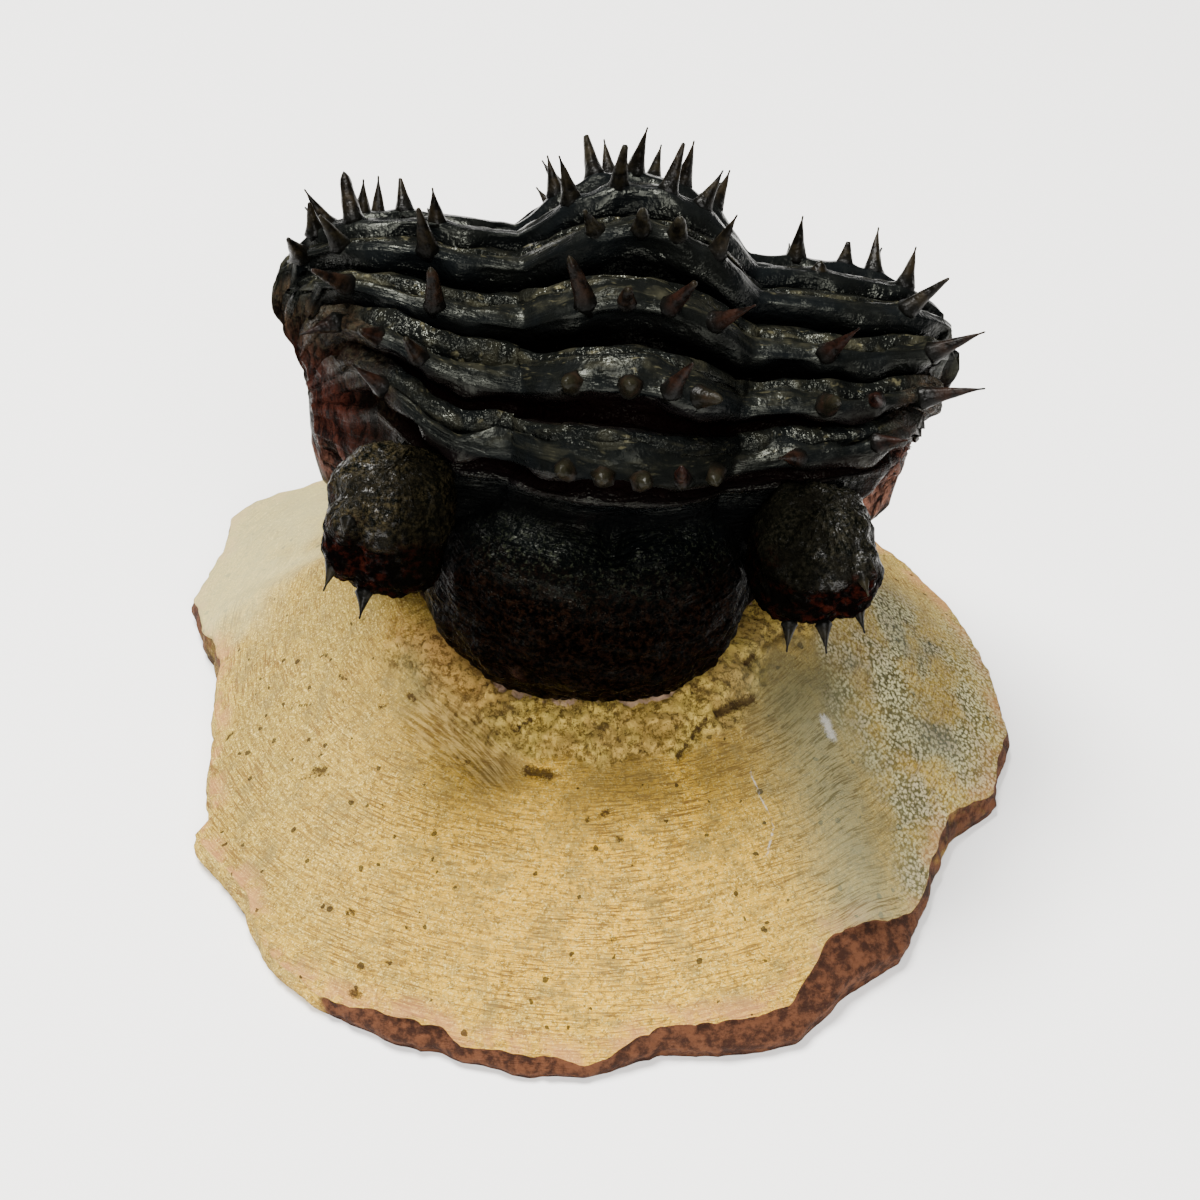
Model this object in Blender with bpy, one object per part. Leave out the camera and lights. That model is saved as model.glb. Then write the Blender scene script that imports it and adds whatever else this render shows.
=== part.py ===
"""A spiny trilobite fossil, arched over like a hairpin and standing on its mound of limestone.

The head faces -Y and hangs over the front of the mound, the thorax climbs from it and turns over the top,
and the tail runs down the back into the stone. The model is in metres, +Z up, with the origin under the
middle of the stone.

The trilobite's body is a UV sphere that a formula moulds. Its poles are the middles of the two flanks. PHI,
in degrees, runs round the arch in the plane of symmetry: 0 is straight ahead, 90 the top and 180 the back.
ACROSS runs from the mid line (0) over the shoulder (SHOULDER) to the middle of the flank (1).
"""

import math

import bmesh
import bpy
import numpy as np
from mathutils import Matrix, Vector

MM = 0.001

# ---- The arch of the body, in millimetres and degrees ----
ARCH_Y = 7.0
ARCH_Z = 36.0
FIRST_RING = 30.0
RING_PITCH = 17.2
THORAX_RINGS = 11
TAIL_END = 236.0

# Height of the side lobes and cheeks above the arch's centre, by angle round the arch
SIDE_RADIUS = [
    (-60, 22.0), (-47, 18.0), (-30, 16.0), (-15, 15.0), (0, 15.0), (14, 16.0), (30, 17.1), (47, 17.2),
    (64, 17.1), (82, 17.5), (99, 16.8), (117, 16.0), (135, 15.6), (152, 15.4), (170, 15.6), (187, 17.0),
    (205, 20.0), (220, 24.0), (236, 27.5), (250, 28.5), (270, 27.0), (300, 22.0),
]
# How far the middle lobe, and on the head the glabella, stands above them
AXIS_RELIEF = [
    (-60, 1.0), (-47, 7.0), (-32, 9.6), (-15, 12.0), (-2, 10.6), (8, 6.8), (15, 3.4), (22, 4.2), (30, 5.8),
    (64, 5.8), (99, 5.8), (152, 5.4), (187, 4.8), (212, 4.2), (230, 2.6), (242, 0.0), (300, 1.0),
]
# Half the width of the middle lobe or glabella
AXIS_HALF = [
    (-60, 9.0), (-47, 11.8), (-30, 14.8), (-12, 14.8), (0, 13.4), (10, 11.2), (16, 9.8), (30, 9.3),
    (99, 9.3), (150, 8.6), (205, 6.8), (236, 3.6), (250, 5.0), (300, 9.0),
]
# Half the width over the shoulders
HALF_WIDTH = [
    (-60, 13.0), (-47, 14.0), (-30, 16.5), (-15, 18.5), (0, 21.0), (15, 23.0), (30, 25.0), (47, 26.6),
    (64, 28.2), (82, 29.0), (120, 29.0), (145, 28.0), (170, 26.5), (205, 24.0), (236, 17.0), (250, 15.0),
    (300, 13.0),
]
# How far a left or right side rib has swept back by the shoulder, in degrees
LEFT_SWEEP = [
    (-60, 0), (0, 2), (16, 10), (30, 19), (47, 19), (64, 15), (82, 13), (110, 11), (180, 8), (236, 6),
    (260, 0), (300, 0),
]
RIGHT_SWEEP = [
    (-60, 0), (0, 2), (16, 10), (30, 17), (47, 14), (64, 13), (82, 12), (110, 10), (180, 8), (236, 6),
    (260, 0), (300, 0),
]
# How late on its way to the shoulder it sweeps: the right power is by ring
LEFT_SWEEP_POWER = 5.0
RIGHT_SWEEP_POWER = [(-60, 1.8), (30, 1.8), (47, 2.6), (64, 4.0), (300, 4.0)]
# PHI past which the skin is under the body and counts on from below the head
SEAM = 300.0
# The left and right half widths against HALF_WIDTH. The left shoulder draws in towards the head
LEFT_SHARE = [
    (-60, 1.045), (0, 1.0), (16, 0.92), (30, 0.83), (47, 0.84), (64, 0.90), (82, 0.98), (99, 1.04),
    (120, 1.045), (300, 1.045),
]
RIGHT_SHARE = [
    (-60, 0.955), (30, 0.955), (47, 0.96), (64, 0.97), (82, 0.995), (99, 1.005), (120, 1.0), (152, 0.97),
    (300, 0.955),
]
# Half the width between the middles of the flanks, and what the right one adds and the left one lacks
FLANK_HALF_WIDTH = 27.4
FLANK_EXTRA = 0.6
# How much the left flank widens for each millimetre that it rises from the arch's centre
LEFT_FLARE = 0.15
SHOULDER = 0.78
# How far each shoulder drops below the side lobe
LEFT_DROP, RIGHT_DROP = 4.6, 3.4
# The middle lobe's section is a superellipse, which on the thorax spreads out more softly at its foot
LOBE_SQUARENESS = 2.3
LOBE_FULLNESS = [(-60, 0.62), (5, 0.62), (35, 0.9), (300, 0.9)]
LOBE_SPREAD = [(-60, 1.0), (5, 1.0), (35, 1.08), (300, 1.08)]

# ---- Ribs ----
# PHASE is the share of a segment from the crest of its rib, below 0 towards the head
AXIS_RIB = 2.5
SIDE_RIB = 2.3
# Phases over which a rib's front rises and its back falls
AXIS_FRONT, AXIS_BACK = (-0.30, -0.10), (0.06, 0.36)
SIDE_FRONT, SIDE_BACK = (-0.30, -0.13), (0.08, 0.29)
# Height, phase and width of the thin ridge behind a rib
AXIS_RIDGE = (0.3, 0.43, 0.08)
SIDE_RIDGE = (0.5, 0.39, 0.07)
# Depth, phase and width of the groove in front of it
GROOVE = (0.32, -0.34, 0.09)
# The tail's ribs are this share lower than the thorax's
TAIL_FADE = 0.85
OCCIPITAL_RING = 22.5
OCCIPITAL_RIB = 1.5
OCCIPITAL_WIDTH = 2.4
FLANK_SMOOTHNESS = 0.75

# ---- How the body leans to its left as it rises ----
LEAN_PIVOT_Z = 24.0
LEAN_LOW, LEAN_LOW_Z = 3.0, 14.0
LEAN_HIGH, LEAN_HIGH_Z = 9.0, 60.0
SHIFT_X = -0.2

# ---- Eyes: the left and right knob, before the body leans ----
EYE_CENTRES = ((-18.9, -12.5, 39.8), (17.9, -12.5, 40.0))
EYE_RADII = (5.4, 6.2, 5.8)
EYE_SQUARENESS = 2.7

# ---- Spines ----
# Each is (place, length, tilt back, tilt to +X, width of the tip against the base). Place is the share of
# the way from the mid line to the shoulder, and the tilts are degrees towards the tail and towards +X.
SPINE_RADIUS = 0.95
SPINE_SIDES = 5
# How far a spine starts under the skin
SPINE_ROOT = 1.2
RING_SPINES = {
    1: [
        (-0.21, 1.7, 20, 0, 0.5), (-0.08, 1.7, 20, 0, 0.5), (0.05, 2.0, 25, 0, 0.5),
        (0.19, 3.0, 50, -40, 0.2), (0.31, 2.2, 0, -50, 0.5), (-0.95, 3.6, 40, 10, 0),
        (0.61, 3.4, 15, -40, 0), (0.88, 3.2, 10, 15, 0),
    ],
    2: [
        (-0.22, 1.8, -10, 10, 0.5), (-0.04, 1.8, -10, 0, 0.5), (0.09, 4.0, 30, 5, 0.15),
        (0.19, 2.6, -10, 10, 0.4), (-0.77, 3.4, 15, -5, 0.3), (-0.90, 2.6, 10, 5, 0.3),
        (-1.0, 3.4, -5, -25, 0), (0.65, 2.8, -5, 10, 0.4), (0.81, 2.2, 0, -30, 0.2),
        (0.97, 5.6, 15, 20, 0),
    ],
    3: [
        (-0.19, 4.7, 30, 5, 0.45), (-0.07, 2.2, 5, 0, 0.5), (0.06, 4.3, 5, 15, 0.3), (0.21, 4.9, 0, 0, 0),
        (-0.67, 4.2, 25, 5, 0.5), (-0.93, 4.8, 0, 0, 0.2), (0.60, 4.8, 5, 20, 0), (0.94, 5.2, 15, 20, 0),
    ],
    4: [
        (-0.17, 3.2, -10, 0, 0.2), (-0.04, 2.8, -10, 0, 0.5), (0.07, 2.8, -15, -10, 0.5),
        (0.20, 4.2, 10, -20, 0), (-0.66, 4.8, -5, -10, 0.2), (-0.90, 4.2, -10, 0, 0.2),
        (-0.99, 4.2, -30, 10, 0.2), (0.83, 4.8, 0, 25, 0.15),
    ],
    5: [
        (-0.23, 4.8, -10, 15, 0), (-0.10, 4.6, -20, 10, 0.3), (0.05, 4.4, 15, 5, 0.2), (0.16, 3.6, 5, 0, 0),
        (-0.61, 3.4, -10, -10, 0), (-0.84, 4.4, 25, 0, 0.5), (-0.94, 3.0, -10, 20, 0.2),
        (0.56, 0.9, 0, 0, 0.4), (0.84, 4.4, 40, 5, 0),
    ],
    6: [
        (-0.26, 3.6, 0, 20, 0), (-0.15, 4.6, 35, 5, 0.3), (-0.03, 4.6, -25, 5, 0), (0.12, 4.3, -20, -10, 0),
        (0.23, 4.4, 30, -10, 0), (-0.70, 3.2, 20, -5, 0.2), (-0.82, 3.4, -20, 15, 0),
        (-0.91, 4.2, -25, -10, 0), (0.52, 4.2, -20, -5, 0), (0.68, 2.4, 30, 5, 0.3),
        (0.78, 4.3, 20, -10, 0),
    ],
    7: [
        (-0.22, 3.8, 10, -5, 0), (-0.08, 4.2, 15, 0, 0), (0.06, 4.4, 20, 0, 0), (0.21, 4.0, 15, 5, 0),
        (-0.78, 4.2, -20, 10, 0), (-0.92, 3.8, -10, -5, 0), (0.58, 3.8, 10, 0, 0), (0.83, 3.8, 10, 5, 0),
    ],
}
# Behind the seventh ring every segment carries the same ones
PLAIN_SPINES = [(-0.84, -4), (-0.62, -2), (-0.21, -2), (-0.07, 0), (0.08, 0), (0.22, 2), (0.61, 2), (0.85, 4)]
PLAIN_SPINE_LENGTH = 3.9
# (eye, direction from its centre, length) of the spines round the front of each eye
EYE_SPINES = [
    (0, (-0.60, -0.65, 0.45), 1.6), (0, (-0.74, -0.60, -0.30), 2.6), (0, (-0.26, -0.74, -0.60), 2.4),
    (1, (0.62, -0.70, 0.35), 2.2), (1, (0.72, -0.60, -0.35), 2.4), (1, (0.28, -0.72, -0.62), 2.5),
    (1, (-0.20, -0.66, -0.72), 2.5),
]
EYE_SPINE_AIM = (0.0, -0.90, -0.42)
EYE_SPINE_SPREAD = 0.5
EYE_SPINE_RADIUS = 0.71

# ---- The stone ----
# Corners of its chipped outline, in millimetres
OUTLINE = [
    (41.9, 0.7), (41.3, 6.8), (39.6, 12.8), (37.2, 19), (33, 25.5), (27, 32.5), (15, 38.3), (2, 40.5),
    (-12, 41), (-22, 40.5), (-29, 39), (-36.5, 35.5), (-39, 32.5), (-39.5, 27.5), (-41.9, 20), (-40.2, 14.5),
    (-38.7, 12.5), (-38.2, 8), (-37.4, -8.5), (-36.8, -12), (-38.5, -13.5), (-35.5, -17.5), (-32.5, -22.5),
    (-30.2, -28), (-25.5, -32.8), (-18, -37), (-10, -39.7), (-5.5, -41), (-0.5, -41), (3, -40),
    (6.5, -38.5), (14, -38.5), (19, -37), (24.5, -31), (29, -27.5), (30.5, -24.5), (33, -17.5), (35, -12.5),
    (39.8, -8),
]
FOOT_CENTRE = (0.0, 8.0)
FOOT_RADII = (19.5, 21.0)
# Height of the stone where it meets the fossil, by direction: -90 is the front and 180 the left
FOOT_HEIGHT = [
    (-180, 21), (-150, 19.5), (-90, 19.5), (-40, 19.5), (0, 20), (50, 17), (90, 14.5), (130, 16), (180, 21),
]
# Above 1 the slope is hollow and below 1 it is a shoulder
SLOPE_POWER = [
    (-180, 0.95), (-150, 1.25), (-110, 1.0), (-60, 1.0), (-25, 1.0), (10, 1.15), (90, 1.2), (145, 1.3),
    (180, 0.95),
]
# Height of the smooth top's rim, by direction
EDGE_HEIGHT = [
    (-180, 3.4), (-150, 2.6), (-125, 1.6), (-90, 1.5), (-60, 1.8), (-45, 1.8), (-25, 3.0), (0, 4.0),
    (90, 4.4), (150, 4.0), (180, 3.4),
]
# How far the broken edge has eaten into the top
EDGE_CUT = [
    (-180, 0.5), (-130, 0.5), (-124, 0.4), (-118, 0.4), (-110, 1.3), (-102, 0.4), (-97, 1.2), (-91, 0.4),
    (-82, 0.9), (-73, 1.7), (-67, 2.2), (-58, 3.4), (-51, 2.8), (-46, 0.8), (-41, 0.4), (-36, 0.5),
    (-30, 0.5), (180, 0.5),
]
# Share of the edge's height at which it stands out furthest, and how far it draws in below
EDGE_BELLY = 0.45
EDGE_UNDERCUT = 0.5
# Shares of the way from the fossil to the edge at which the mound's rings lie
SLOPE_RINGS = [0.0, 0.09, 0.22, 0.42, 0.66, 0.87, 1.0]
CROWN_RING = 0.6
# Distance from the fossil to the edge, by direction
STONE_REACH = [
    (-180, 19.5), (-165, 21), (-150, 24), (-135, 27.5), (-120, 29), (-90, 28), (-60, 28.5), (-45, 25),
    (-30, 22.5), (-15, 22), (0, 20.5), (20, 17), (45, 15), (70, 12.5), (90, 12), (110, 15), (130, 21),
    (145, 24.5), (160, 22), (180, 19.5),
]
# The low collar of stone round the front of the fossil
COLLAR_HEIGHT = 0.8
COLLAR_PLACE, COLLAR_WIDTH = 2.0, 3.0
SOCKET_GAP = 0.45


def smooth(low, high, value):
    """0 below low, 1 above high, and an S curve between them."""
    share = np.clip((value - low) / (high - low), 0.0, 1.0)
    return share * share * (3.0 - 2.0 * share)


def along(table, value):
    """A smooth curve through the (place, height) pairs of a table."""
    places, heights = np.array(table, float).T
    slopes = np.gradient(heights, places)
    value = np.clip(value, places[0], places[-1])
    i = np.clip(np.searchsorted(places, value) - 1, 0, len(places) - 2)
    step = places[i + 1] - places[i]
    t = (value - places[i]) / step
    return (
        heights[i] * (1 + 2 * t) * (1 - t) ** 2
        + slopes[i] * step * t * (1 - t) ** 2
        + heights[i + 1] * t * t * (3 - 2 * t)
        + slopes[i + 1] * step * t * t * (t - 1)
    )


def bump(value, centre, width):
    """A bell of height 1."""
    return np.exp(-(((value - centre) / width) ** 2))


def rib(phase, front, back, ridge):
    """Section of a rib of height 1, with a thin ridge behind it and a groove in front."""
    roll = smooth(*front, phase) * (1 - smooth(*back, phase))
    return roll + ridge[0] * bump(phase, *ridge[1:]) - GROOVE[0] * bump(phase, *GROOVE[1:])


def ribs(row, x, axis_half):
    """Height of the ribs, one to a segment. They start behind the head and fade on the tail."""
    turns = (row - FIRST_RING) / RING_PITCH
    phase = turns - np.round(turns)
    on_axis = 1 - smooth(axis_half * 0.86, axis_half * 1.08, np.abs(x))
    axis_rib = AXIS_RIB * rib(phase, AXIS_FRONT, AXIS_BACK, AXIS_RIDGE)
    side_rib = SIDE_RIB * rib(phase, SIDE_FRONT, SIDE_BACK, SIDE_RIDGE)
    height = axis_rib * on_axis + side_rib * (1 - on_axis)
    behind_head = smooth(-0.42, -0.30, turns)
    before_tail = 1 - TAIL_FADE * smooth(THORAX_RINGS - 0.6, THORAX_RINGS + 1.4, turns)
    return height * behind_head * before_tail * (1 - smooth(TAIL_END - 6, TAIL_END + 4, row))


def dorsal_radius(row, phi, x, half, sunk, drop):
    """Distance of the back of the animal from the arch's centre line. The ribs fade out down the flank."""
    axis_half = along(AXIS_HALF, phi)
    relief = along(AXIS_RELIEF, phi)
    foot = axis_half * along(LOBE_SPREAD, phi)
    inside = np.clip(1 - (np.abs(x) / foot) ** LOBE_SQUARENESS, 0, 1) ** along(LOBE_FULLNESS, phi)
    outside = np.clip((np.abs(x) - axis_half) / (half - axis_half), 0, 1)
    radius = along(SIDE_RADIUS, phi) + relief * inside - drop * outside**5
    occipital = OCCIPITAL_RIB * bump(row, OCCIPITAL_RING, OCCIPITAL_WIDTH)
    radius = radius + occipital * (1 - 0.5 * smooth(axis_half, half, np.abs(x)))
    return radius + ribs(row, x, axis_half) * (1 - FLANK_SMOOTHNESS * smooth(0, 0.5, sunk))


def lean(points):
    """Rolls the body to +X, a little at its foot and more at its top."""
    x, y, z = points
    angle = np.radians(LEAN_LOW + (LEAN_HIGH - LEAN_LOW) * smooth(LEAN_LOW_Z, LEAN_HIGH_Z, z))
    height = z - LEAN_PIVOT_Z
    return np.array([
        SHIFT_X + x * np.cos(angle) + height * np.sin(angle),
        y,
        LEAN_PIVOT_Z + height * np.cos(angle) - x * np.sin(angle),
    ])


def body_point(row, across, swell=0.0):
    """A point of the body's skin in millimetres, moved out by swell. ROW is PHI on the mid line."""
    row, across = np.asarray(row, float), np.asarray(across, float)
    side = np.sign(across)
    place = np.clip(np.abs(across) / SHOULDER, 0, 1)
    sunk = np.clip((np.abs(across) - SHOULDER) / (1 - SHOULDER), 0, 1)
    left = along(LEFT_SWEEP, row) * place**LEFT_SWEEP_POWER
    right = along(RIGHT_SWEEP, row) * place ** along(RIGHT_SWEEP_POWER, row)
    phi = row + np.where(across < 0, left, right)
    phi = np.where(phi > SEAM, phi - 360, phi)
    half = along(HALF_WIDTH, phi)
    x = half * place
    drop = np.where(across < 0, LEFT_DROP, RIGHT_DROP)
    radius = (dorsal_radius(row, phi, x, half, sunk, drop) + swell) * (1 - sunk)
    widening = np.where(across < 0, along(LEFT_SHARE, phi), along(RIGHT_SHARE, phi)) - 1
    x = x * (1 + widening * x / half)
    flank = FLANK_HALF_WIDTH + FLANK_EXTRA * side
    x = x + (flank - x) * smooth(0, 0.8, sunk)
    turn = np.radians(phi)
    x = x + LEFT_FLARE * (across < 0) * smooth(0, 0.4, sunk) * radius * np.sin(turn)
    return lean(np.array([
        side * (x + swell * place),
        ARCH_Y - radius * np.cos(turn),
        ARCH_Z + radius * np.sin(turn),
    ]))


def mesh_object(name, builder, finish):
    """An object of triangles, which keep the Boolean's cuts exact."""
    mesh = bpy.data.meshes.new(name)
    bm = bmesh.new()
    builder(bm)
    bmesh.ops.triangulate(bm, faces=bm.faces)
    bm.to_mesh(mesh)
    bm.free()
    mesh.materials.append(finish)
    return bpy.data.objects.new(name, mesh)


def body_rows():
    """The sphere's rows: one along each edge of each rib, and wider apart on the head and under the body."""
    head = [-52, -43, -34, -26, -18, -10, -3, 4, 9, 13, 16.5, 19.5, 22.5, 25]
    thorax = []
    for ring in range(THORAX_RINGS):
        edges = [-0.12, 0.01, 0.14, 0.28, 0.39, 0.66] if ring < 5 else [-0.12, 0.10, 0.30, 0.66]
        thorax += [FIRST_RING + RING_PITCH * (ring + edge) for edge in edges]
    return np.array(head + thorax + [222, 232, 241, 253, 268, 288])


def body_columns():
    """The sphere's columns from flank to flank, closest at the middle lobe's sides and the shoulders."""
    dorsal = SHOULDER * np.array([0, 0.10, 0.19, 0.27, 0.32, 0.37, 0.47, 0.60, 0.74, 0.86, 0.94, 1.0])
    flank = SHOULDER + (1 - SHOULDER) * np.array([0.16, 0.5, 1.0])
    half = np.concatenate([dorsal, flank])
    return np.concatenate([-half[:0:-1], half])


def mould_body(bm, swell=0.0):
    """Moves each vertex of a UV sphere to its place on the body."""
    rows, columns = body_rows(), body_columns()
    places = body_point(rows[:, None], columns[None, :], swell)
    bmesh.ops.create_uvsphere(bm, u_segments=len(rows), v_segments=len(columns) - 1, radius=1.0)
    for vertex in bm.verts:
        column = round(math.acos(max(-1.0, min(1.0, vertex.co.z))) / math.pi * (len(columns) - 1))
        row = round(math.atan2(vertex.co.y, vertex.co.x) / math.tau * len(rows)) % len(rows)
        vertex.co = Vector(places[:, row, column]) * MM
    bmesh.ops.recalc_face_normals(bm, faces=bm.faces)


def skin(row, across):
    """A point of the body with its outward direction, the way to the tail and the way to +X."""
    point = body_point(row, across)
    back = body_point(row + 0.5, across) - body_point(row - 0.5, across)
    over = body_point(row, across + 0.004) - body_point(row, across - 0.004)
    out = np.cross(over, back)
    out, back, over = (Vector(v).normalized() for v in (out, back, over))
    if out.dot(Vector(point) - Vector((0, ARCH_Y, ARCH_Z))) < 0:
        out = -out
    return Vector(point), out, back, over


def add_spine(bm, foot, aim, length, radius, tip):
    """A cone that starts a little under the skin."""
    start = foot - aim * SPINE_ROOT
    depth = length + SPINE_ROOT
    made = bmesh.ops.create_cone(
        bm, cap_ends=True, segments=SPINE_SIDES, radius1=radius, radius2=radius * tip, depth=depth)
    turn = aim.to_track_quat("Z", "Y").to_matrix().to_4x4()
    middle = start + aim * depth / 2
    bmesh.ops.transform(bm, matrix=Matrix.Translation(middle) @ turn, verts=made["verts"])


def spine_list():
    """Foot, aim, length, radius and tip of every spine on the thorax, in millimetres."""
    spines = []
    for ring in range(1, THORAX_RINGS + 1):
        row = FIRST_RING + RING_PITCH * (ring - 1)
        plain = [(place, PLAIN_SPINE_LENGTH, 8, tilt, 0) for place, tilt in PLAIN_SPINES]
        for place, length, tilt_back, tilt_over, tip in RING_SPINES.get(ring, plain):
            foot, out, back, over = skin(row, place * SHOULDER)
            aim = out + math.tan(math.radians(tilt_back)) * back + math.tan(math.radians(tilt_over)) * over
            radius = SPINE_RADIUS * (0.8 + 0.05 * length)
            spines.append((foot, aim.normalized(), length, radius, tip))
    return spines


def eye_point(eye, way):
    """The point of an eye's rounded block that lies in the direction WAY from its middle."""
    reach = sum(abs(part) ** EYE_SQUARENESS for part in way) ** (-1 / EYE_SQUARENESS)
    return Vector(EYE_CENTRES[eye][i] + way[i] * reach * EYE_RADII[i] for i in range(3))


def eye_spine_list():
    spines = []
    for eye, way, length in EYE_SPINES:
        way = Vector(way).normalized()
        foot = eye_point(eye, way)
        aim = (Vector(EYE_SPINE_AIM) + way * EYE_SPINE_SPREAD).normalized()
        spines.append((Vector(lean(foot)), aim, length, EYE_SPINE_RADIUS, 0))
    return spines


def build_eyes(bm):
    for eye in range(len(EYE_CENTRES)):
        made = bmesh.ops.create_uvsphere(bm, u_segments=12, v_segments=8, radius=1.0)
        for vertex in made["verts"]:
            vertex.co = Vector(lean(eye_point(eye, vertex.co))) * MM
    bmesh.ops.recalc_face_normals(bm, faces=bm.faces)


def build_spines(bm, spines):
    for foot, aim, length, radius, tip in spines:
        add_spine(bm, foot, aim, length, radius, tip)
    bmesh.ops.scale(bm, vec=(MM, MM, MM), verts=bm.verts)


def stone_spokes():
    """For each spoke of the stone: its foot against the fossil, its end on the outline and its direction."""
    spokes = []
    for i, corner in enumerate(OUTLINE):
        after = OUTLINE[(i + 1) % len(OUTLINE)]
        middle = ((corner[0] + after[0]) / 2, (corner[1] + after[1]) / 2)
        for end in (corner, middle):
            way = math.atan2(end[1] - FOOT_CENTRE[1], end[0] - FOOT_CENTRE[0])
            across = Vector((FOOT_RADII[0] * math.cos(way), FOOT_RADII[1] * math.sin(way)))
            spokes.append((Vector(FOOT_CENTRE) + across, Vector(end), math.degrees(way)))
    return spokes


def stone_height(distance, way):
    """Height of the stone's top at a distance from the fossil, in the direction WAY."""
    share = distance / float(along(STONE_REACH, way))
    fall = max(0.0, 1 - share) ** float(along(SLOPE_POWER, way)) - 0.5 * max(0.0, share - 1)
    in_front = smooth(-170, -140, way) * (1 - smooth(-30, 0, way))
    collar = COLLAR_HEIGHT * float(bump(distance, COLLAR_PLACE, COLLAR_WIDTH) * in_front)
    edge = float(along(EDGE_HEIGHT, way))
    return edge + (float(along(FOOT_HEIGHT, way)) - edge) * fall + collar


def build_stone(bm):
    """A UV sphere moulded into the mound: most rings lie on its slope, the rest round the edge and below."""
    spokes = stone_spokes()
    belly = len(SLOPE_RINGS) + 1
    rings = belly + 3
    centre = Vector(FOOT_CENTRE)
    bmesh.ops.create_uvsphere(bm, u_segments=len(spokes), v_segments=rings + 1, radius=1.0)
    for vertex in bm.verts:
        ring = round(math.acos(max(-1.0, min(1.0, vertex.co.z))) / math.pi * (rings + 1)) - 1
        spoke = round(math.atan2(vertex.co.y, vertex.co.x) / math.tau * len(spokes)) % len(spokes)
        foot, end, way = spokes[spoke]
        outwards = (end - centre).normalized()
        brow = end - outwards * float(along(EDGE_CUT, way))
        if ring < 0:
            place, height = centre, FOOT_HEIGHT[0][1]
        elif ring == 0:
            place, height = centre.lerp(foot, CROWN_RING), stone_height(0, way)
        elif ring < belly:
            place = foot.lerp(brow, SLOPE_RINGS[ring - 1])
            height = stone_height((place - foot).length, way)
        elif ring == belly:
            place, height = end, float(along(EDGE_HEIGHT, way)) * EDGE_BELLY
        elif ring == belly + 1:
            place, height = end - outwards * EDGE_UNDERCUT, 0.0
        elif ring == belly + 2:
            place, height = centre.lerp(end, 0.5), 0.0
        else:
            place, height = centre, 0.0
        vertex.co = Vector((place.x, place.y, height)) * MM
    bmesh.ops.recalc_face_normals(bm, faces=bm.faces)


def boolean(target, cutter, operation):
    modifier = target.modifiers.new(operation.lower(), "BOOLEAN")
    modifier.operation = operation
    modifier.solver = "EXACT"
    modifier.object = cutter


def material(name, colour, roughness):
    made = bpy.data.materials.new(name)
    made.use_nodes = True
    shader = made.node_tree.nodes["Principled BSDF"]
    shader.inputs["Base Color"].default_value = (*colour, 1.0)
    shader.inputs["Roughness"].default_value = roughness
    return made


def smooth_shaded(obj):
    for polygon in obj.data.polygons:
        polygon.use_smooth = True


def main():
    for obj in list(bpy.data.objects):
        bpy.data.objects.remove(obj)
    shell = material("fossil_shell", (0.03, 0.03, 0.028), 0.35)
    limestone = material("limestone", (0.55, 0.45, 0.28), 0.9)
    parts = bpy.data.collections.new("fossil_trilobite")
    tools = bpy.data.collections.new("cutters")
    bpy.context.scene.collection.children.link(parts)
    bpy.context.scene.collection.children.link(tools)

    body = mesh_object("trilobite", mould_body, shell)
    stone = mesh_object("matrix", build_stone, limestone)
    helpers = [
        mesh_object("eyes", build_eyes, shell),
        mesh_object("eye_spines", lambda bm: build_spines(bm, eye_spine_list()), shell),
        mesh_object("thorax_spines", lambda bm: build_spines(bm, spine_list()), shell),
        mesh_object("socket", lambda bm: mould_body(bm, SOCKET_GAP), limestone),
    ]
    for obj in (body, stone):
        parts.objects.link(obj)
    for obj in helpers:
        tools.objects.link(obj)
        obj.hide_render = True
        obj.display_type = "WIRE"
    for obj in (body, stone, *helpers):
        smooth_shaded(obj)
    for added in helpers[:3]:
        boolean(body, added, "UNION")
    boolean(stone, helpers[3], "DIFFERENCE")


main()
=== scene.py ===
"""The looks of the fossil trilobite: its shell, eyes and spines, and the scratched stone that it stands on.

Lengths are in millimetres until a mesh is made, and angles are in degrees. The animal faces -Y, and left is
-X, as the camera sees it. PHI runs round the arch of the body in its plane of symmetry: 0 is straight ahead,
90 the top and 180 the back. ACROSS runs from the mid line (0) over the shoulder (SHOULDER) to the middle of
the flank (1), and is negative on the left. WAY is a direction seen from above: -90 is the front, 0 is +X.
A mask is a value at each vertex that tells a material where a colour goes, mostly from 0 to 1.
"""

import itertools
import math
from functools import cached_property
from types import SimpleNamespace

import bpy
import numpy as np
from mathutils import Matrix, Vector
from mathutils.bvhtree import BVHTree


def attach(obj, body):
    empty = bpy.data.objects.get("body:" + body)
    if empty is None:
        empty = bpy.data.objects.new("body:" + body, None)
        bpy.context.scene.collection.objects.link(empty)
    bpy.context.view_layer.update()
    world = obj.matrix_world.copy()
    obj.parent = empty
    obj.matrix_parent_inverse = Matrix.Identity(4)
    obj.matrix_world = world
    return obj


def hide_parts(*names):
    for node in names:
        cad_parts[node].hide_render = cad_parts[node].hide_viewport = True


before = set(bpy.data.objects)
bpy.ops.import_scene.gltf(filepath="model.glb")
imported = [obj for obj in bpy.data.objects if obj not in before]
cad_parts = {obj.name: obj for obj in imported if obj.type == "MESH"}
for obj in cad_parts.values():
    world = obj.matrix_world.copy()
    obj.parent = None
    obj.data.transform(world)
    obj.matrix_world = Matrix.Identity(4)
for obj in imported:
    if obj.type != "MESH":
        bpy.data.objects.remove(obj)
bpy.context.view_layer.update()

MM = 0.001

# ---- The arch of the body ----
ARCH_Y = 7.0
ARCH_Z = 36.0
FIRST_RING = 30.0
RING_PITCH = 17.2
THORAX_RINGS = 11
TAIL_END = 236.0
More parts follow.
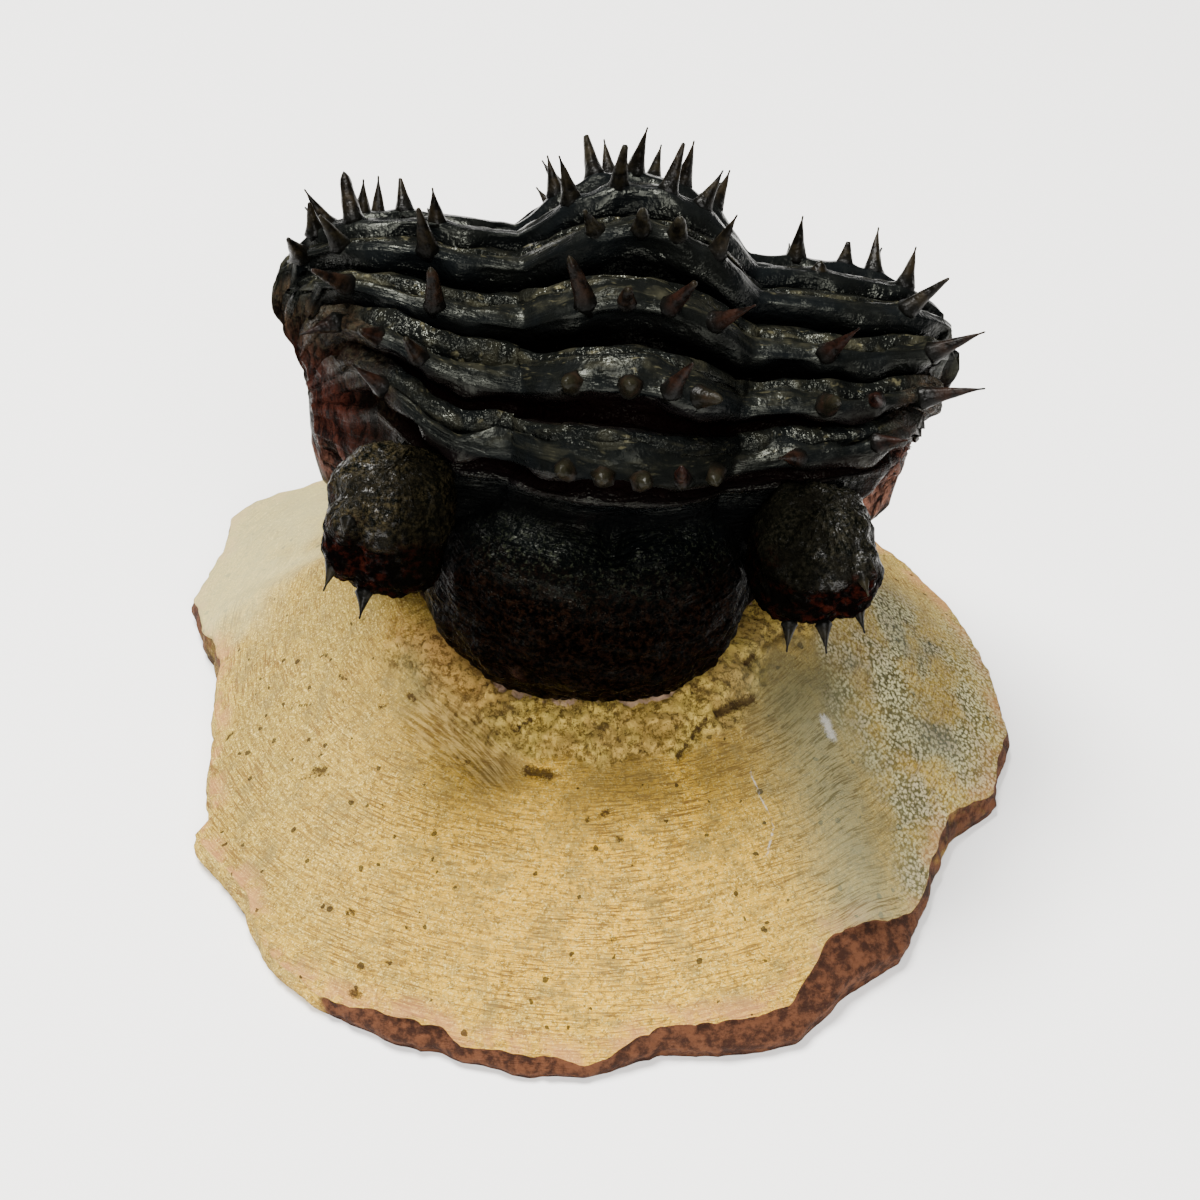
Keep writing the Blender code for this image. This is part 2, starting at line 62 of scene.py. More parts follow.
# Millimetres of skin to a degree of PHI
SKIN_PER_DEGREE = 0.42
SIDE_RADIUS = [
    (-60, 22), (-47, 18), (-30, 16), (-15, 15), (0, 15), (14, 16), (30, 17.1), (47, 17.2), (64, 17.1),
    (82, 17.5), (99, 16.8), (117, 16), (135, 15.6), (152, 15.4), (170, 15.6), (187, 17), (205, 20),
    (220, 24), (236, 27.5), (250, 28.5), (270, 27), (300, 22),
]
AXIS_RELIEF = [
    (-60, 1), (-47, 7), (-32, 9.6), (-15, 12), (-2, 10.6), (8, 6.8), (15, 3.4), (22, 4.2), (30, 5.8),
    (64, 5.8), (99, 5.8), (152, 5.4), (187, 4.8), (212, 4.2), (230, 2.6), (242, 0), (300, 1),
]
AXIS_HALF = [
    (-60, 9), (-47, 11.8), (-30, 14.8), (-12, 14.8), (0, 13.4), (10, 11.2), (16, 9.8), (30, 9.3),
    (99, 9.3), (150, 8.6), (205, 6.8), (236, 3.6), (250, 5), (300, 9),
]
HALF_WIDTH = [
    (-60, 13), (-47, 14), (-30, 16.5), (-15, 18.5), (0, 21), (15, 23), (30, 25), (47, 26.6), (64, 28.2),
    (82, 29), (120, 29), (145, 28), (170, 26.5), (205, 24), (236, 17), (250, 15), (300, 13),
]
LEFT_SWEEP = [
    (-60, 0), (0, 2), (16, 10), (30, 19), (47, 19), (64, 15), (82, 13), (110, 11), (180, 8), (236, 6),
    (260, 0), (300, 0),
]
RIGHT_SWEEP = [
    (-60, 0), (0, 2), (16, 10), (30, 17), (47, 14), (64, 13), (82, 12), (110, 10), (180, 8), (236, 6),
    (260, 0), (300, 0),
]
LEFT_SWEEP_POWER = 5.0
RIGHT_SWEEP_POWER = [(-60, 1.8), (30, 1.8), (47, 2.6), (64, 4.0), (300, 4.0)]
SEAM = 300.0
# The left and right half widths against HALF_WIDTH. The left shoulder draws in towards the head
LEFT_SHARE = [
    (-60, 1.045), (0, 1), (16, 0.92), (30, 0.83), (47, 0.84), (64, 0.9), (82, 0.98), (99, 1.04),
    (120, 1.045), (300, 1.045),
]
RIGHT_SHARE = [
    (-60, 0.955), (30, 0.955), (47, 0.96), (64, 0.97), (82, 0.995), (99, 1.005), (120, 1), (152, 0.97),
    (300, 0.955),
]
FLANK_HALF_WIDTH = 27.4
FLANK_EXTRA = 0.6
# How much the left flank widens for each millimetre that it rises from the arch's centre
LEFT_FLARE = 0.15
SHOULDER = 0.78
LEFT_DROP, RIGHT_DROP = 4.6, 3.4
LOBE_SQUARENESS = 2.3
LOBE_FULLNESS = [(-60, 0.62), (5, 0.62), (35, 0.9), (300, 0.9)]
LOBE_SPREAD = [(-60, 1.0), (5, 1.0), (35, 1.08), (300, 1.08)]

# ---- Ribs. PHASE is the share of a segment from the crest of its rib, below 0 towards the head ----
AXIS_RIB = 2.5
SIDE_RIB = 2.3
AXIS_FRONT, AXIS_BACK = (-0.3, -0.1), (0.06, 0.36)
SIDE_FRONT, SIDE_BACK = (-0.3, -0.13), (0.08, 0.29)
# Ridges behind the ribs, and the groove in front: (height, phase, width)
AXIS_RIDGE = (0.3, 0.43, 0.08)
SIDE_RIDGE = (0.5, 0.39, 0.07)
GROOVE = (0.32, -0.34, 0.09)
TAIL_FADE = 0.85
OCCIPITAL_RING = 22.5
OCCIPITAL_RIB = 1.5
OCCIPITAL_WIDTH = 2.4
FLANK_SMOOTHNESS = 0.75

# ---- How the body leans to +X as it rises ----
LEAN_PIVOT_Z = 24.0
LEAN_LOW, LEAN_LOW_Z = 3.0, 14.0
LEAN_HIGH, LEAN_HIGH_Z = 9.0, 60.0
SHIFT_X = -0.2

# ---- Eyes: the left and right knob, before the body leans ----
EYE_CENTRES = ((-18.9, -12.5, 39.8), (17.9, -12.5, 40.0))
EYE_RADII = (5.4, 6.2, 5.8)
EYE_SQUARENESS = 2.7

# ---- The two lumps of the brow, either side of BROW_X ----
BROW_X = 0.4

# ---- Spines: (place, length, tilt back, tilt to +X, width of the tip against the base) by ring ----
SPINE_RADIUS = 0.95
# How deep a spine starts in the skin, and how far the skin swells round its foot
SPINE_ROOT = 1.2
SPINE_SWELLING = 0.35
# From this width of tip a spine is a blunt node. The nodes of the first rings are swollen
BLUNT = 0.4
NODE_SWELLING = 1.2
SHARP, SHARP_GIRTH = 0.1, 0.09
RING_SPINES = {
    1: [
        (-0.21, 1.7, 20, 0, 0.5), (-0.08, 1.7, 20, 0, 0.5), (0.05, 2, 25, 0, 0.5),
        (0.19, 3, 50, -40, 0.2), (0.31, 2.2, 0, -50, 0.5), (-0.95, 3.6, 40, 10, 0),
        (0.61, 3.4, 15, -40, 0), (0.88, 3.2, 10, 15, 0),
    ],
    2: [
        (-0.22, 1.8, -10, 10, 0.5), (-0.04, 1.8, -10, 0, 0.5), (0.09, 4, 30, 5, 0.15),
        (0.19, 2.6, -10, 10, 0.4), (-0.77, 3.4, 15, -5, 0.3), (-0.9, 2.6, 10, 5, 0.3),
        (-1, 3.4, -5, -25, 0), (0.65, 2.8, -5, 10, 0.4), (0.81, 2.2, 0, -30, 0.2), (0.97, 5.6, 15, 20, 0),
    ],
    3: [
        (-0.19, 4.7, 30, 5, 0.45), (-0.07, 2.2, 5, 0, 0.5), (0.06, 4.3, 5, 15, 0.3), (0.21, 4.9, 0, 0, 0),
        (-0.67, 4.2, 25, 5, 0.5), (-0.93, 4.8, 0, 0, 0.2), (0.6, 4.8, 5, 20, 0), (0.94, 5.2, 15, 20, 0),
    ],
    4: [
        (-0.17, 3.2, -10, 0, 0.2), (-0.04, 2.8, -10, 0, 0.5), (0.07, 2.8, -15, -10, 0.5),
        (0.2, 4.2, 10, -20, 0), (-0.66, 4.8, -5, -10, 0.2), (-0.9, 4.2, -10, 0, 0.2),
        (-0.99, 4.2, -30, 10, 0.2), (0.83, 4.8, 0, 25, 0.15),
    ],
    5: [
        (-0.23, 4.8, -10, 15, 0), (-0.1, 4.6, -20, 10, 0.3), (0.05, 4.4, 15, 5, 0.2),
        (0.16, 3.6, 5, 0, 0), (-0.61, 3.4, -10, -10, 0), (-0.84, 4.4, 25, 0, 0.5),
        (-0.94, 3, -10, 20, 0.2), (0.56, 0.9, 0, 0, 0.4), (0.84, 4.4, 40, 5, 0),
    ],
    6: [
        (-0.26, 3.6, 0, 20, 0), (-0.15, 4.6, 35, 5, 0.3), (-0.03, 4.6, -25, 5, 0),
        (0.12, 4.3, -20, -10, 0), (0.23, 4.4, 30, -10, 0), (-0.7, 3.2, 20, -5, 0.2),
        (-0.82, 3.4, -20, 15, 0), (-0.91, 4.2, -25, -10, 0), (0.52, 4.2, -20, -5, 0),
        (0.68, 2.4, 30, 5, 0.3), (0.78, 4.3, 20, -10, 0),
    ],
    7: [
        (-0.22, 3.8, 10, -5, 0), (-0.08, 4.2, 15, 0, 0), (0.06, 4.4, 20, 0, 0), (0.21, 4, 15, 5, 0),
        (-0.78, 4.2, -20, 10, 0), (-0.92, 3.8, -10, -5, 0), (0.58, 3.8, 10, 0, 0), (0.83, 3.8, 10, 5, 0),
    ],
}
# The rings out of sight: (place, tilt to +X)
PLAIN_SPINES = [
    (-0.84, -4), (-0.62, -2), (-0.21, -2), (-0.07, 0), (0.08, 0), (0.22, 2), (0.61, 2), (0.85, 4),
]
PLAIN_SPINE_LENGTH, PLAIN_SPINE_TILT = 3.9, 8
# (eye, way out of its middle, length)
EYE_SPINES = [
    (0, (-0.6, -0.65, 0.45), 1.6), (0, (-0.74, -0.6, -0.3), 2.6), (0, (-0.26, -0.74, -0.6), 2.4),
    (1, (0.62, -0.7, 0.35), 2.2), (1, (0.72, -0.6, -0.35), 2.4), (1, (0.28, -0.72, -0.62), 2.5),
    (1, (-0.2, -0.66, -0.72), 2.5),
]
EYE_SPINE_AIM = (0.0, -0.9, -0.42)
EYE_SPINE_SPREAD = 0.5
EYE_SPINE_RADIUS = 0.71

# ---- The stone ----
OUTLINE = [
    (41.9, 0.7), (41.3, 6.8), (39.6, 12.8), (37.2, 19), (33, 25.5), (27, 32.5), (15, 38.3), (2, 40.5),
    (-12, 41), (-22, 40.5), (-29, 39), (-36.5, 35.5), (-39, 32.5), (-39.5, 27.5), (-41.9, 20),
    (-40.2, 14.5), (-38.7, 12.5), (-38.2, 8), (-37.4, -8.5), (-36.8, -12), (-38.5, -13.5), (-35.5, -17.5),
    (-32.5, -22.5), (-30.2, -28), (-25.5, -32.8), (-18, -37), (-10, -39.7), (-5.5, -41), (-0.5, -41),
    (3, -40), (6.5, -38.5), (14, -38.5), (19, -37), (24.5, -31), (29, -27.5), (30.5, -24.5), (33, -17.5),
    (35, -12.5), (39.8, -8),
]
FOOT_CENTRE = (0.0, 8.0)
FOOT_RADII = (19.5, 21.0)
FOOT_HEIGHT = [
    (-180, 21), (-150, 19.5), (-90, 19.5), (-40, 19.5), (0, 20), (50, 17), (90, 14.5), (130, 16),
    (180, 21),
]
SLOPE_POWER = [
    (-180, 0.95), (-150, 1.25), (-110, 1), (-60, 1), (-25, 1), (10, 1.15), (90, 1.2), (145, 1.3),
    (180, 0.95),
]
EDGE_HEIGHT = [
    (-180, 3.4), (-150, 2.6), (-125, 1.6), (-90, 1.5), (-60, 1.8), (-45, 1.8), (-25, 3), (0, 4),
    (90, 4.4), (150, 4), (180, 3.4),
]
EDGE_CUT = [
    (-180, 0.5), (-130, 0.5), (-124, 0.4), (-118, 0.4), (-110, 1.3), (-102, 0.4), (-97, 1.2), (-91, 0.4),
    (-82, 0.9), (-73, 1.7), (-67, 2.2), (-58, 3.4), (-51, 2.8), (-46, 0.8), (-41, 0.4), (-36, 0.5),
    (-30, 0.5), (180, 0.5),
]
# How red and freshly broken the edge is, by direction
EDGE_BROKEN = [
    (-180, 0.4), (-150, 0.15), (-125, 0.1), (-118, 0.6), (-114, 1), (-80, 1), (-52, 1), (-46, 0.7),
    (0, 0.7), (20, 0.5), (90, 0.6), (150, 0.5), (180, 0.4),
]
# The share of the edge's height that draws in again below, and how far
EDGE_BELLY = 0.45
EDGE_UNDERCUT = 0.5
# How far the slope reaches, by direction
STONE_REACH = [
    (-180, 19.5), (-165, 21), (-150, 24), (-135, 27.5), (-120, 29), (-90, 28), (-60, 28.5), (-45, 25),
    (-30, 22.5), (-15, 22), (0, 20.5), (20, 17), (45, 15), (70, 12.5), (90, 12), (110, 15), (130, 21),
    (145, 24.5), (160, 22), (180, 19.5),
]
COLLAR_HEIGHT = 0.8
COLLAR_PLACE, COLLAR_WIDTH = 2.0, 3.0
COLLAR_EDGE = 5.8
TROUGH_DEPTH, TROUGH_PLACE, TROUGH_WIDTH = 0.8, 7.0, 1.8
# The rough side's border, and how far it draws back to +X in front
ROUGH_SIDE_X, ROUGH_SIDE_SHIFT = 21.5, 7.0
CORNER_X = 41.5
TOP_HEIGHT = 19.0
# Nibbles in the outline: the size of the circle that their noise is read on, and their depth
NIBBLE_CIRCLE, NIBBLE_DEPTH = 30, 0.4

# Spurs of the stone's top: (start, end, width, height), seen from above
SPURS = [((-25, 11.5), (-36, 14.5), 2.6, 1.1), ((20.5, -7.5), (26, -27), 2.4, 0.7)]

# Scars in the stone's top: (start, end, half width, depth), seen from above
SCARS = [
    ((12, -12.4), (15.3, -10), 0.5, 0.5), ((8.1, -16.6), (10.7, -13.3), 0.28, 0.4),
    ((-7.1, -14.6), (-5.2, -14.2), 0.25, 0.3), ((-5.8, -17.8), (-3.6, -18.3), 0.5, 0.5),
    ((-28.2, -3.4), (-26.8, -4.2), 0.16, 0.1), ((-19.9, -8.3), (-19.3, -8.4), 0.2, 0.1),
    ((-28.9, -3.3), (-28.7, -3.3), 0.2, 0.1), ((-26.1, 0.5), (-25.6, 0.4), 0.16, 0.1),
    ((-23.8, -3.2), (-23.4, -3.6), 0.18, 0.1), ((-22.6, -5), (-22.4, -5.1), 0.2, 0.1),
    ((-22, 1.5), (-21.7, 1.3), 0.18, 0.1), ((-35.5, -2.8), (-35, -2.3), 0.25, 0.1),
    ((-25.9, -11.4), (-25.1, -11.8), 0.45, 0.2), ((-28.4, -11.4), (-24.4, -12.6), 0.12, 0.1),
    ((-18.3, -31.4), (-18, -31.4), 0.28, 0.2), ((-21.5, -33.2), (-20.9, -33.5), 0.45, 0.3),
    ((2.7, -23.3), (2.9, -23.3), 0.3, 0.2), ((2.1, -31.1), (2.3, -31.1), 0.3, 0.2),
    ((-22.1, -26.2), (-21.6, -26.4), 0.35, 0.2), ((-0.2, -21.9), (0, -21.8), 0.22, 0.2),
    ((1.2, -21.5), (1.7, -21.2), 0.28, 0.2), ((-17.4, -8.4), (-16.9, -9), 0.3, 0.2),
    ((-11.6, -16), (-11.3, -16.1), 0.22, 0.1), ((14.6, -7), (15.4, -6.2), 0.35, 0.3),
]
# Chalky marks: (start, end, half width)
CHALK = [
    ((22, -9.2), (22.5, -10.2), 0.6), ((14.9, -16.2), (15.9, -18.3), 0.1),
    ((15.9, -18.3), (17, -20.4), 0.1), ((17, -20.4), (16.2, -23.3), 0.1),
]
# Patches of colour, and of painted shade in the hollows: (start, end, width)
PATCHES = {
    "hollow": ((17.8, -8.6), (21.8, -5.2), 3.3), "green": ((-17, -5.5), (-16, -8.5), 1.6),
    "orange": ((-18.5, 0.4), (-11, -10.4), 2.6), "brown": ((-15.6, -10.7), (-9.1, -16.9), 2.4),
    "grey": ((21, -11), (26, -26), 5.5),
}
# The distance given to what has no scar or chalk near, in half widths
FAR = 9.0
# Grey-blue clouds on the stone's right: (centre, size)
BLUE_CLOUDS = [((31.8, 5.9), 2.6), ((33.5, -5.2), 2.8), ((25.8, -1.8), 1.6)]

# ---- Fineness of the meshes ----
FIRST_ROW, HIDDEN_ROW = -52, 152
BODY_ROWS_FRONT, BODY_ROWS_BACK = 265, 70
BODY_COLUMNS_BACK, BODY_COLUMNS_FLANK = 95, 34
EYE_RINGS, EYE_SEGMENTS = 110, 160
SPINE_SIDES, SPINE_RINGS = 12, 12
STONE_SPOKES, STONE_SLOPE_RINGS, STONE_EDGE_RINGS = 760, 84, 12
STONE_FOOT_SHARES = (0.35, 0.65, 0.85, 0.95)
STONE_BASE_SHARES = (0.97, 0.9, 0.6, 0.3, 0)

# ---- Camera: places and distance in metres ----
LOOK_AT = (0.001, -0.003, 0.0238)
CAMERA_DISTANCE = 0.27
CAMERA_ELEVATION = 42.0
CAMERA_LENS = 86.7
CAMERA_SENSOR = 36.0

# ---- Floor, and lights: (place, size, power, colour), in metres and watts ----
FLOOR_HALF = 1.2
FLOOR_TONE = (0.93, 0.93, 0.93, 1.0)
LIGHTS = {
    "key": ((-0.14, 0.1, 0.6), 0.3, 13.5, (1.0, 0.98, 0.94)),
    "fill": ((0.06, -0.52, 0.5), 0.45, 8.8, (1.0, 0.98, 0.95)),
}
WORLD_TONE, WORLD_STRENGTH = (0.95, 0.97, 1.0, 1.0), 0.12


# -------------------- numbers


def smooth(low, high, value):
    """0 below low, 1 above high, and an S curve between them. Low may be the higher of the two."""
    share = np.clip((value - low) / (high - low), 0.0, 1.0)
    return share * share * (3.0 - 2.0 * share)


def along(table, value):
    """A smooth curve through the (place, height) pairs of a table."""
    places, heights = np.array(table, float).T
    slopes = np.gradient(heights, places)
    value = np.clip(value, places[0], places[-1])
    i = np.clip(np.searchsorted(places, value) - 1, 0, len(places) - 2)
    step = places[i + 1] - places[i]
    t = (value - places[i]) / step
    return (
        heights[i] * (1 + 2 * t) * (1 - t) ** 2
        + slopes[i] * step * t * (1 - t) ** 2
        + heights[i + 1] * t * t * (3 - 2 * t)
        + slopes[i + 1] * step * t * t * (t - 1)
    )


def bump(value, centre, width):
    """A bell of height 1."""
    return np.exp(-(((value - centre) / width) ** 2))


def stacked(*parts):
    """Several arrays of one shape as the coordinates of points."""
    return np.stack(np.broadcast_arrays(*parts), axis=-1)


DICE = np.random.default_rng(11)
SHUFFLE = DICE.permutation(256)
ARROWS = DICE.normal(size=(256, 3))
ARROWS /= np.linalg.norm(ARROWS, axis=1)[:, None]
JITTER = DICE.random((256, 3))
NOISE_GAIN = 1.7


def key(cell):
    """A repeatable number from 0 to 255 for each lattice cell."""
    cell = cell & 255
    return SHUFFLE[(SHUFFLE[(SHUFFLE[cell[..., 0]] + cell[..., 1]) & 255] + cell[..., 2]) & 255]


def rough(points, size=1.0, seed=0):
    """Gradient noise from about -1 to 1 whose lumps are SIZE wide."""
    points = np.asarray(points) / size + seed * 17.31
    cell = np.floor(points).astype(int)
    part = points - cell
    fade = part**3 * (part * (part * 6 - 15) + 10)
    total = 0.0
    for corner in itertools.product((0, 1), repeat=3):
        weight = np.prod(np.where(corner, fade, 1 - fade), axis=-1)
        total = total + weight * np.sum(ARROWS[key(cell + corner)] * (part - corner), axis=-1)
    return total * NOISE_GAIN


def layered(points, *layers):
    """A sum of noises, each given as its height, size and seed."""
    return sum(height * rough(points, size, seed) for height, size, seed in layers)


def fractal(points, size, octaves, seed=0):
    """Noise with finer and finer noise added to it."""
    return layered(points, *((1 / 2**i, size / 2**i, seed + i) for i in range(octaves)))


def ridges(points, size, seed=0):
    """Noise with sharp crests of height 1."""
    return 1 - np.abs(rough(points, size, seed))


def grains(points, size, seed=0):
    """1 in the middle of each cell of a random packing, falling to 0 between the cells."""
    points = np.asarray(points) / size + seed * 9.7
    cell = np.floor(points).astype(int)
    nearest = np.full(points.shape[:-1], 9.0)
    second = nearest.copy()
    for step in itertools.product((-1, 0, 1), repeat=3):
        at = cell + step
        gap = np.linalg.norm(at + JITTER[key(at)] - points, axis=-1)
        second = np.minimum(second, np.maximum(nearest, gap))
        nearest = np.minimum(nearest, gap)
    return np.clip((second - nearest) / 0.7, 0, 1)


# -------------------- the body's form


def rib(phase, front, back, ridge):
    """Section of a rib of height 1, with a thin ridge behind it and a groove in front."""
    roll = smooth(*front, phase) * (1 - smooth(*back, phase))
    return roll + ridge[0] * bump(phase, *ridge[1:]) - GROOVE[0] * bump(phase, *GROOVE[1:])


def rib_phase(row):
    """The number of rings from the first one, and the phase in the ring."""
    turns = (row - FIRST_RING) / RING_PITCH
    return turns, turns - np.round(turns)


def before_tail_end(row):
    """1 up to the end of the tail, and 0 past it."""
    return 1 - smooth(TAIL_END - 6, TAIL_END + 4, row)


def ribs(row, x, axis_half):
    """Height of the ribs, one to a segment. They start behind the head and fade on the tail."""
    turns, phase = rib_phase(row)
    on_axis = 1 - smooth(axis_half * 0.86, axis_half * 1.08, np.abs(x))
    axis_rib = AXIS_RIB * rib(phase, AXIS_FRONT, AXIS_BACK, AXIS_RIDGE)
    side_rib = SIDE_RIB * rib(phase, SIDE_FRONT, SIDE_BACK, SIDE_RIDGE)
    height = axis_rib * on_axis + side_rib * (1 - on_axis)
    behind_head = smooth(-0.42, -0.3, turns)
    before_tail = 1 - TAIL_FADE * smooth(THORAX_RINGS - 0.6, THORAX_RINGS + 1.4, turns)
    return height * behind_head * before_tail * before_tail_end(row)


def dorsal_radius(row, phi, x, half, sunk, drop):
    """Distance of the back of the animal from the arch's centre line. The ribs fade out down the flank."""
    axis_half = along(AXIS_HALF, phi)
    relief = along(AXIS_RELIEF, phi)
    foot = axis_half * along(LOBE_SPREAD, phi)
    inside = np.clip(1 - (np.abs(x) / foot) ** LOBE_SQUARENESS, 0, 1) ** along(LOBE_FULLNESS, phi)
    outside = np.clip((np.abs(x) - axis_half) / (half - axis_half), 0, 1)
    radius = along(SIDE_RADIUS, phi) + relief * inside - drop * outside**5
    occipital = OCCIPITAL_RIB * bump(row, OCCIPITAL_RING, OCCIPITAL_WIDTH)
    radius = radius + occipital * (1 - 0.5 * smooth(axis_half, half, np.abs(x)))
    return radius + ribs(row, x, axis_half) * (1 - FLANK_SMOOTHNESS * smooth(0, 0.5, sunk))


def lean(points):
    """Rolls the body to +X, a little at its foot and more at its top."""
    x, y, z = points
    angle = np.radians(LEAN_LOW + (LEAN_HIGH - LEAN_LOW) * smooth(LEAN_LOW_Z, LEAN_HIGH_Z, z))
    height = z - LEAN_PIVOT_Z
    return np.array([
        SHIFT_X + x * np.cos(angle) + height * np.sin(angle),
        y,
        LEAN_PIVOT_Z + height * np.cos(angle) - x * np.sin(angle),
    ])


def skin_places(row, across):
    """PHI, the distance from the mid line, the half width, and the share of the flank that lies above."""
    place = np.clip(np.abs(across) / SHOULDER, 0, 1)
    sunk = np.clip((np.abs(across) - SHOULDER) / (1 - SHOULDER), 0, 1)
    left = along(LEFT_SWEEP, row) * place**LEFT_SWEEP_POWER
    right = along(RIGHT_SWEEP, row) * place ** along(RIGHT_SWEEP_POWER, row)
    phi = row + np.where(across < 0, left, right)
    phi = np.where(phi > SEAM, phi - 360, phi)
    half = along(HALF_WIDTH, phi)
    return phi, half * place, half, sunk


def body_point(row, across):
    """A point of the body's skin. ROW is PHI on the mid line."""
    row, across = np.asarray(row, float), np.asarray(across, float)
    side = np.sign(across)
    phi, x, half, sunk = skin_places(row, across)
    drop = np.where(across < 0, LEFT_DROP, RIGHT_DROP)
    radius = dorsal_radius(row, phi, x, half, sunk, drop) * (1 - sunk)
    widening = np.where(across < 0, along(LEFT_SHARE, phi), along(RIGHT_SHARE, phi)) - 1
    x = x * (1 + widening * x / half)
    flank = FLANK_HALF_WIDTH + FLANK_EXTRA * side
    x = x + (flank - x) * smooth(0, 0.8, sunk)
    turn = np.radians(phi)
    x = x + LEFT_FLARE * (across < 0) * smooth(0, 0.4, sunk) * radius * np.sin(turn)
    return lean(np.array([side * x, ARCH_Y - radius * np.cos(turn), ARCH_Z + radius * np.sin(turn)]))


# -------------------- meshes


def outward_normals(points):
    """Outward normals of a closed grid of points whose rows close into rings."""
    down = np.roll(points, -1, 0) - np.roll(points, 1, 0)
    normals = np.cross(np.gradient(points, axis=1), down)
    normals /= np.maximum(np.linalg.norm(normals, axis=-1), 1e-9)[..., None]
    middle = points.mean((0, 1))
    return normals * np.sign(np.sum(normals * (points - middle)))


def closed_grid(points, masks):
    """Vertices, faces and masks of a grid whose rows close into rings and whose end columns are poles."""
    rows, columns = points.shape[:2]
    index = np.arange(rows * (columns - 2)).reshape(rows, -1)
    after = np.roll(index, -1, 0)
    quads = np.stack([index[:, :-1], index[:, 1:], after[:, 1:], after[:, :-1]], -1).reshape(-1, 4)
    fans = [(index.size, a, b) for a, b in zip(index[:, 0], after[:, 0])]
    fans += [(index.size + 1, b, a) for a, b in zip(index[:, -1], after[:, -1])]

    def flat(values):
        ends = [values[:1, i].reshape(1, -1) for i in (0, -1)]
        return np.concatenate([values[:, 1:-1].reshape(index.size, -1), *ends])

    return flat(points), quads.tolist() + fans, {title: flat(values) for title, values in masks.items()}


def in_scene(name, data):
    """A new object in the scene, with its mesh, lamp or camera."""
    made = bpy.data.objects.new(name, data)
    bpy.context.scene.collection.objects.link(made)
    return made


def mesh_object(name, vertices, faces, masks):
    """A smooth object with its faces pointing out, and a value or vector at each vertex for each mask."""
    mesh = bpy.data.meshes.new(name)
    mesh.from_pydata((vertices * MM).tolist(), [], faces)
    for title, values in masks.items():
        kind, field = ("FLOAT", "value") if values.shape[1] == 1 else ("FLOAT_VECTOR", "vector")
        mesh.attributes.new(title, kind, "POINT").data.foreach_set(field, values.astype(np.float32).ravel())
    mesh.validate()
    mesh.polygons.foreach_set("use_smooth", [True] * len(mesh.polygons))
    a, b, c = vertices[[face[:3] for face in faces]].transpose(1, 0, 2)
    if np.sum(a * np.cross(b, c)) < 0:
        mesh.flip_normals()
    return in_scene(name, mesh)


# -------------------- the shell


def body_grid():
    """Rows and columns of the body's mesh: fine where it shows, coarser behind and under the stone."""
    front = np.linspace(FIRST_ROW, HIDDEN_ROW, BODY_ROWS_FRONT, endpoint=False)
    behind = np.linspace(HIDDEN_ROW, SEAM, BODY_ROWS_BACK, endpoint=False)
    dorsal = np.linspace(0, SHOULDER, BODY_COLUMNS_BACK)
    flank = SHOULDER + (1 - SHOULDER) * np.linspace(0, 1, BODY_COLUMNS_FLANK + 1)[1:]
    half = np.concatenate([dorsal, flank])
    return np.concatenate([front, behind]), np.concatenate([-half[:0:-1], half])


def shell_zones(points, row, across):
    """Where each point of the shell lies, and how far it belongs to each part of the animal.

    FLAT is the skin laid flat: X along the ribs, and Y from the head to the tail.
    """
    z = SimpleNamespace(points=points, row=row)
    phi, x, z.half, z.sunk = skin_places(row, across)
    z.x = x * np.sign(across)
    z.beside = np.abs(z.x) / z.half
    z.turns, z.phase = rib_phase(row)
    z.axis_half = along(AXIS_HALF, phi)
    z.thorax = smooth(-0.45, -0.25, z.turns) * before_tail_end(row)
    z.head = 1 - smooth(14, 24, row)
    z.glabella = 1 - smooth(z.axis_half * 0.8, z.axis_half * 1.05, np.abs(z.x))
    z.glabella *= 1 - smooth(6, 16, row)
    z.dorsal = 1 - smooth(0.1, 0.5, z.sunk)
    z.plateau = z.thorax * (smooth(0.0, 0.14, z.phase) + smooth(-0.36, -0.44, z.phase))
    z.left = z.thorax * smooth(-0.99, -0.8, z.x / z.half) * smooth(2.0, -4.0, z.x + z.axis_half)
    z.between = z.left * (bump(z.turns, 1.31, 0.05) + bump(z.turns, 1.6, 0.04))
    z.flat = stacked(z.x + 3 * z.sunk * np.sign(across), row * SKIN_PER_DEGREE, 0 * z.x)
    z.wrinkles = ridges(points * (0.6, 1.0, 0.22), 1.5, 9)
    return z


def rib_relief(z):
    """Strands and cracks along the ribs, an extra ridge on the left, and the ribs' wavering line."""
    wavy = z.flat + stacked(0 * z.x, 0.9 * rough(z.flat, 7.0, 4), 0 * z.x)
    strands = 0.26 * ridges(wavy * (0.13, 1.0, 1.0), 1.25, 5) ** 3
    strands += 0.12 * ridges(wavy * (0.16, 1.0, 1.0), 0.7, 6) ** 3
    cracks = 0.3 * bump(rough(wavy * (0.16, 1.0, 1.0), 2.6, 7), 0.0, 0.1)
    relief = z.thorax * (0.15 + 0.85 * z.plateau) * (0.55 + 0.45 * smooth(0.5, 1.0, z.beside))
    relief *= strands - cracks
    shelf = 0.8 * smooth(0.1, 0.28, z.phase) * (1 - smooth(0.42, 0.5, z.phase))
    relief += z.thorax * z.dorsal * (shelf - 0.8 * bump(z.phase, -0.36, 0.1))
    relief += z.left * bump(z.turns, 1.46, 0.08) - 0.4 * z.between
    wobble = 1.3 * rough(stacked(z.x, z.row * 0.1, 0 * z.x), 7.0, 11)
    wobble += 0.5 * rough(stacked(z.x, z.row * 0.3, 0 * z.x), 3.0, 12)
    return relief + z.dorsal * (ribs(z.row + wobble, z.x, z.axis_half) - ribs(z.row, z.x, z.axis_half))


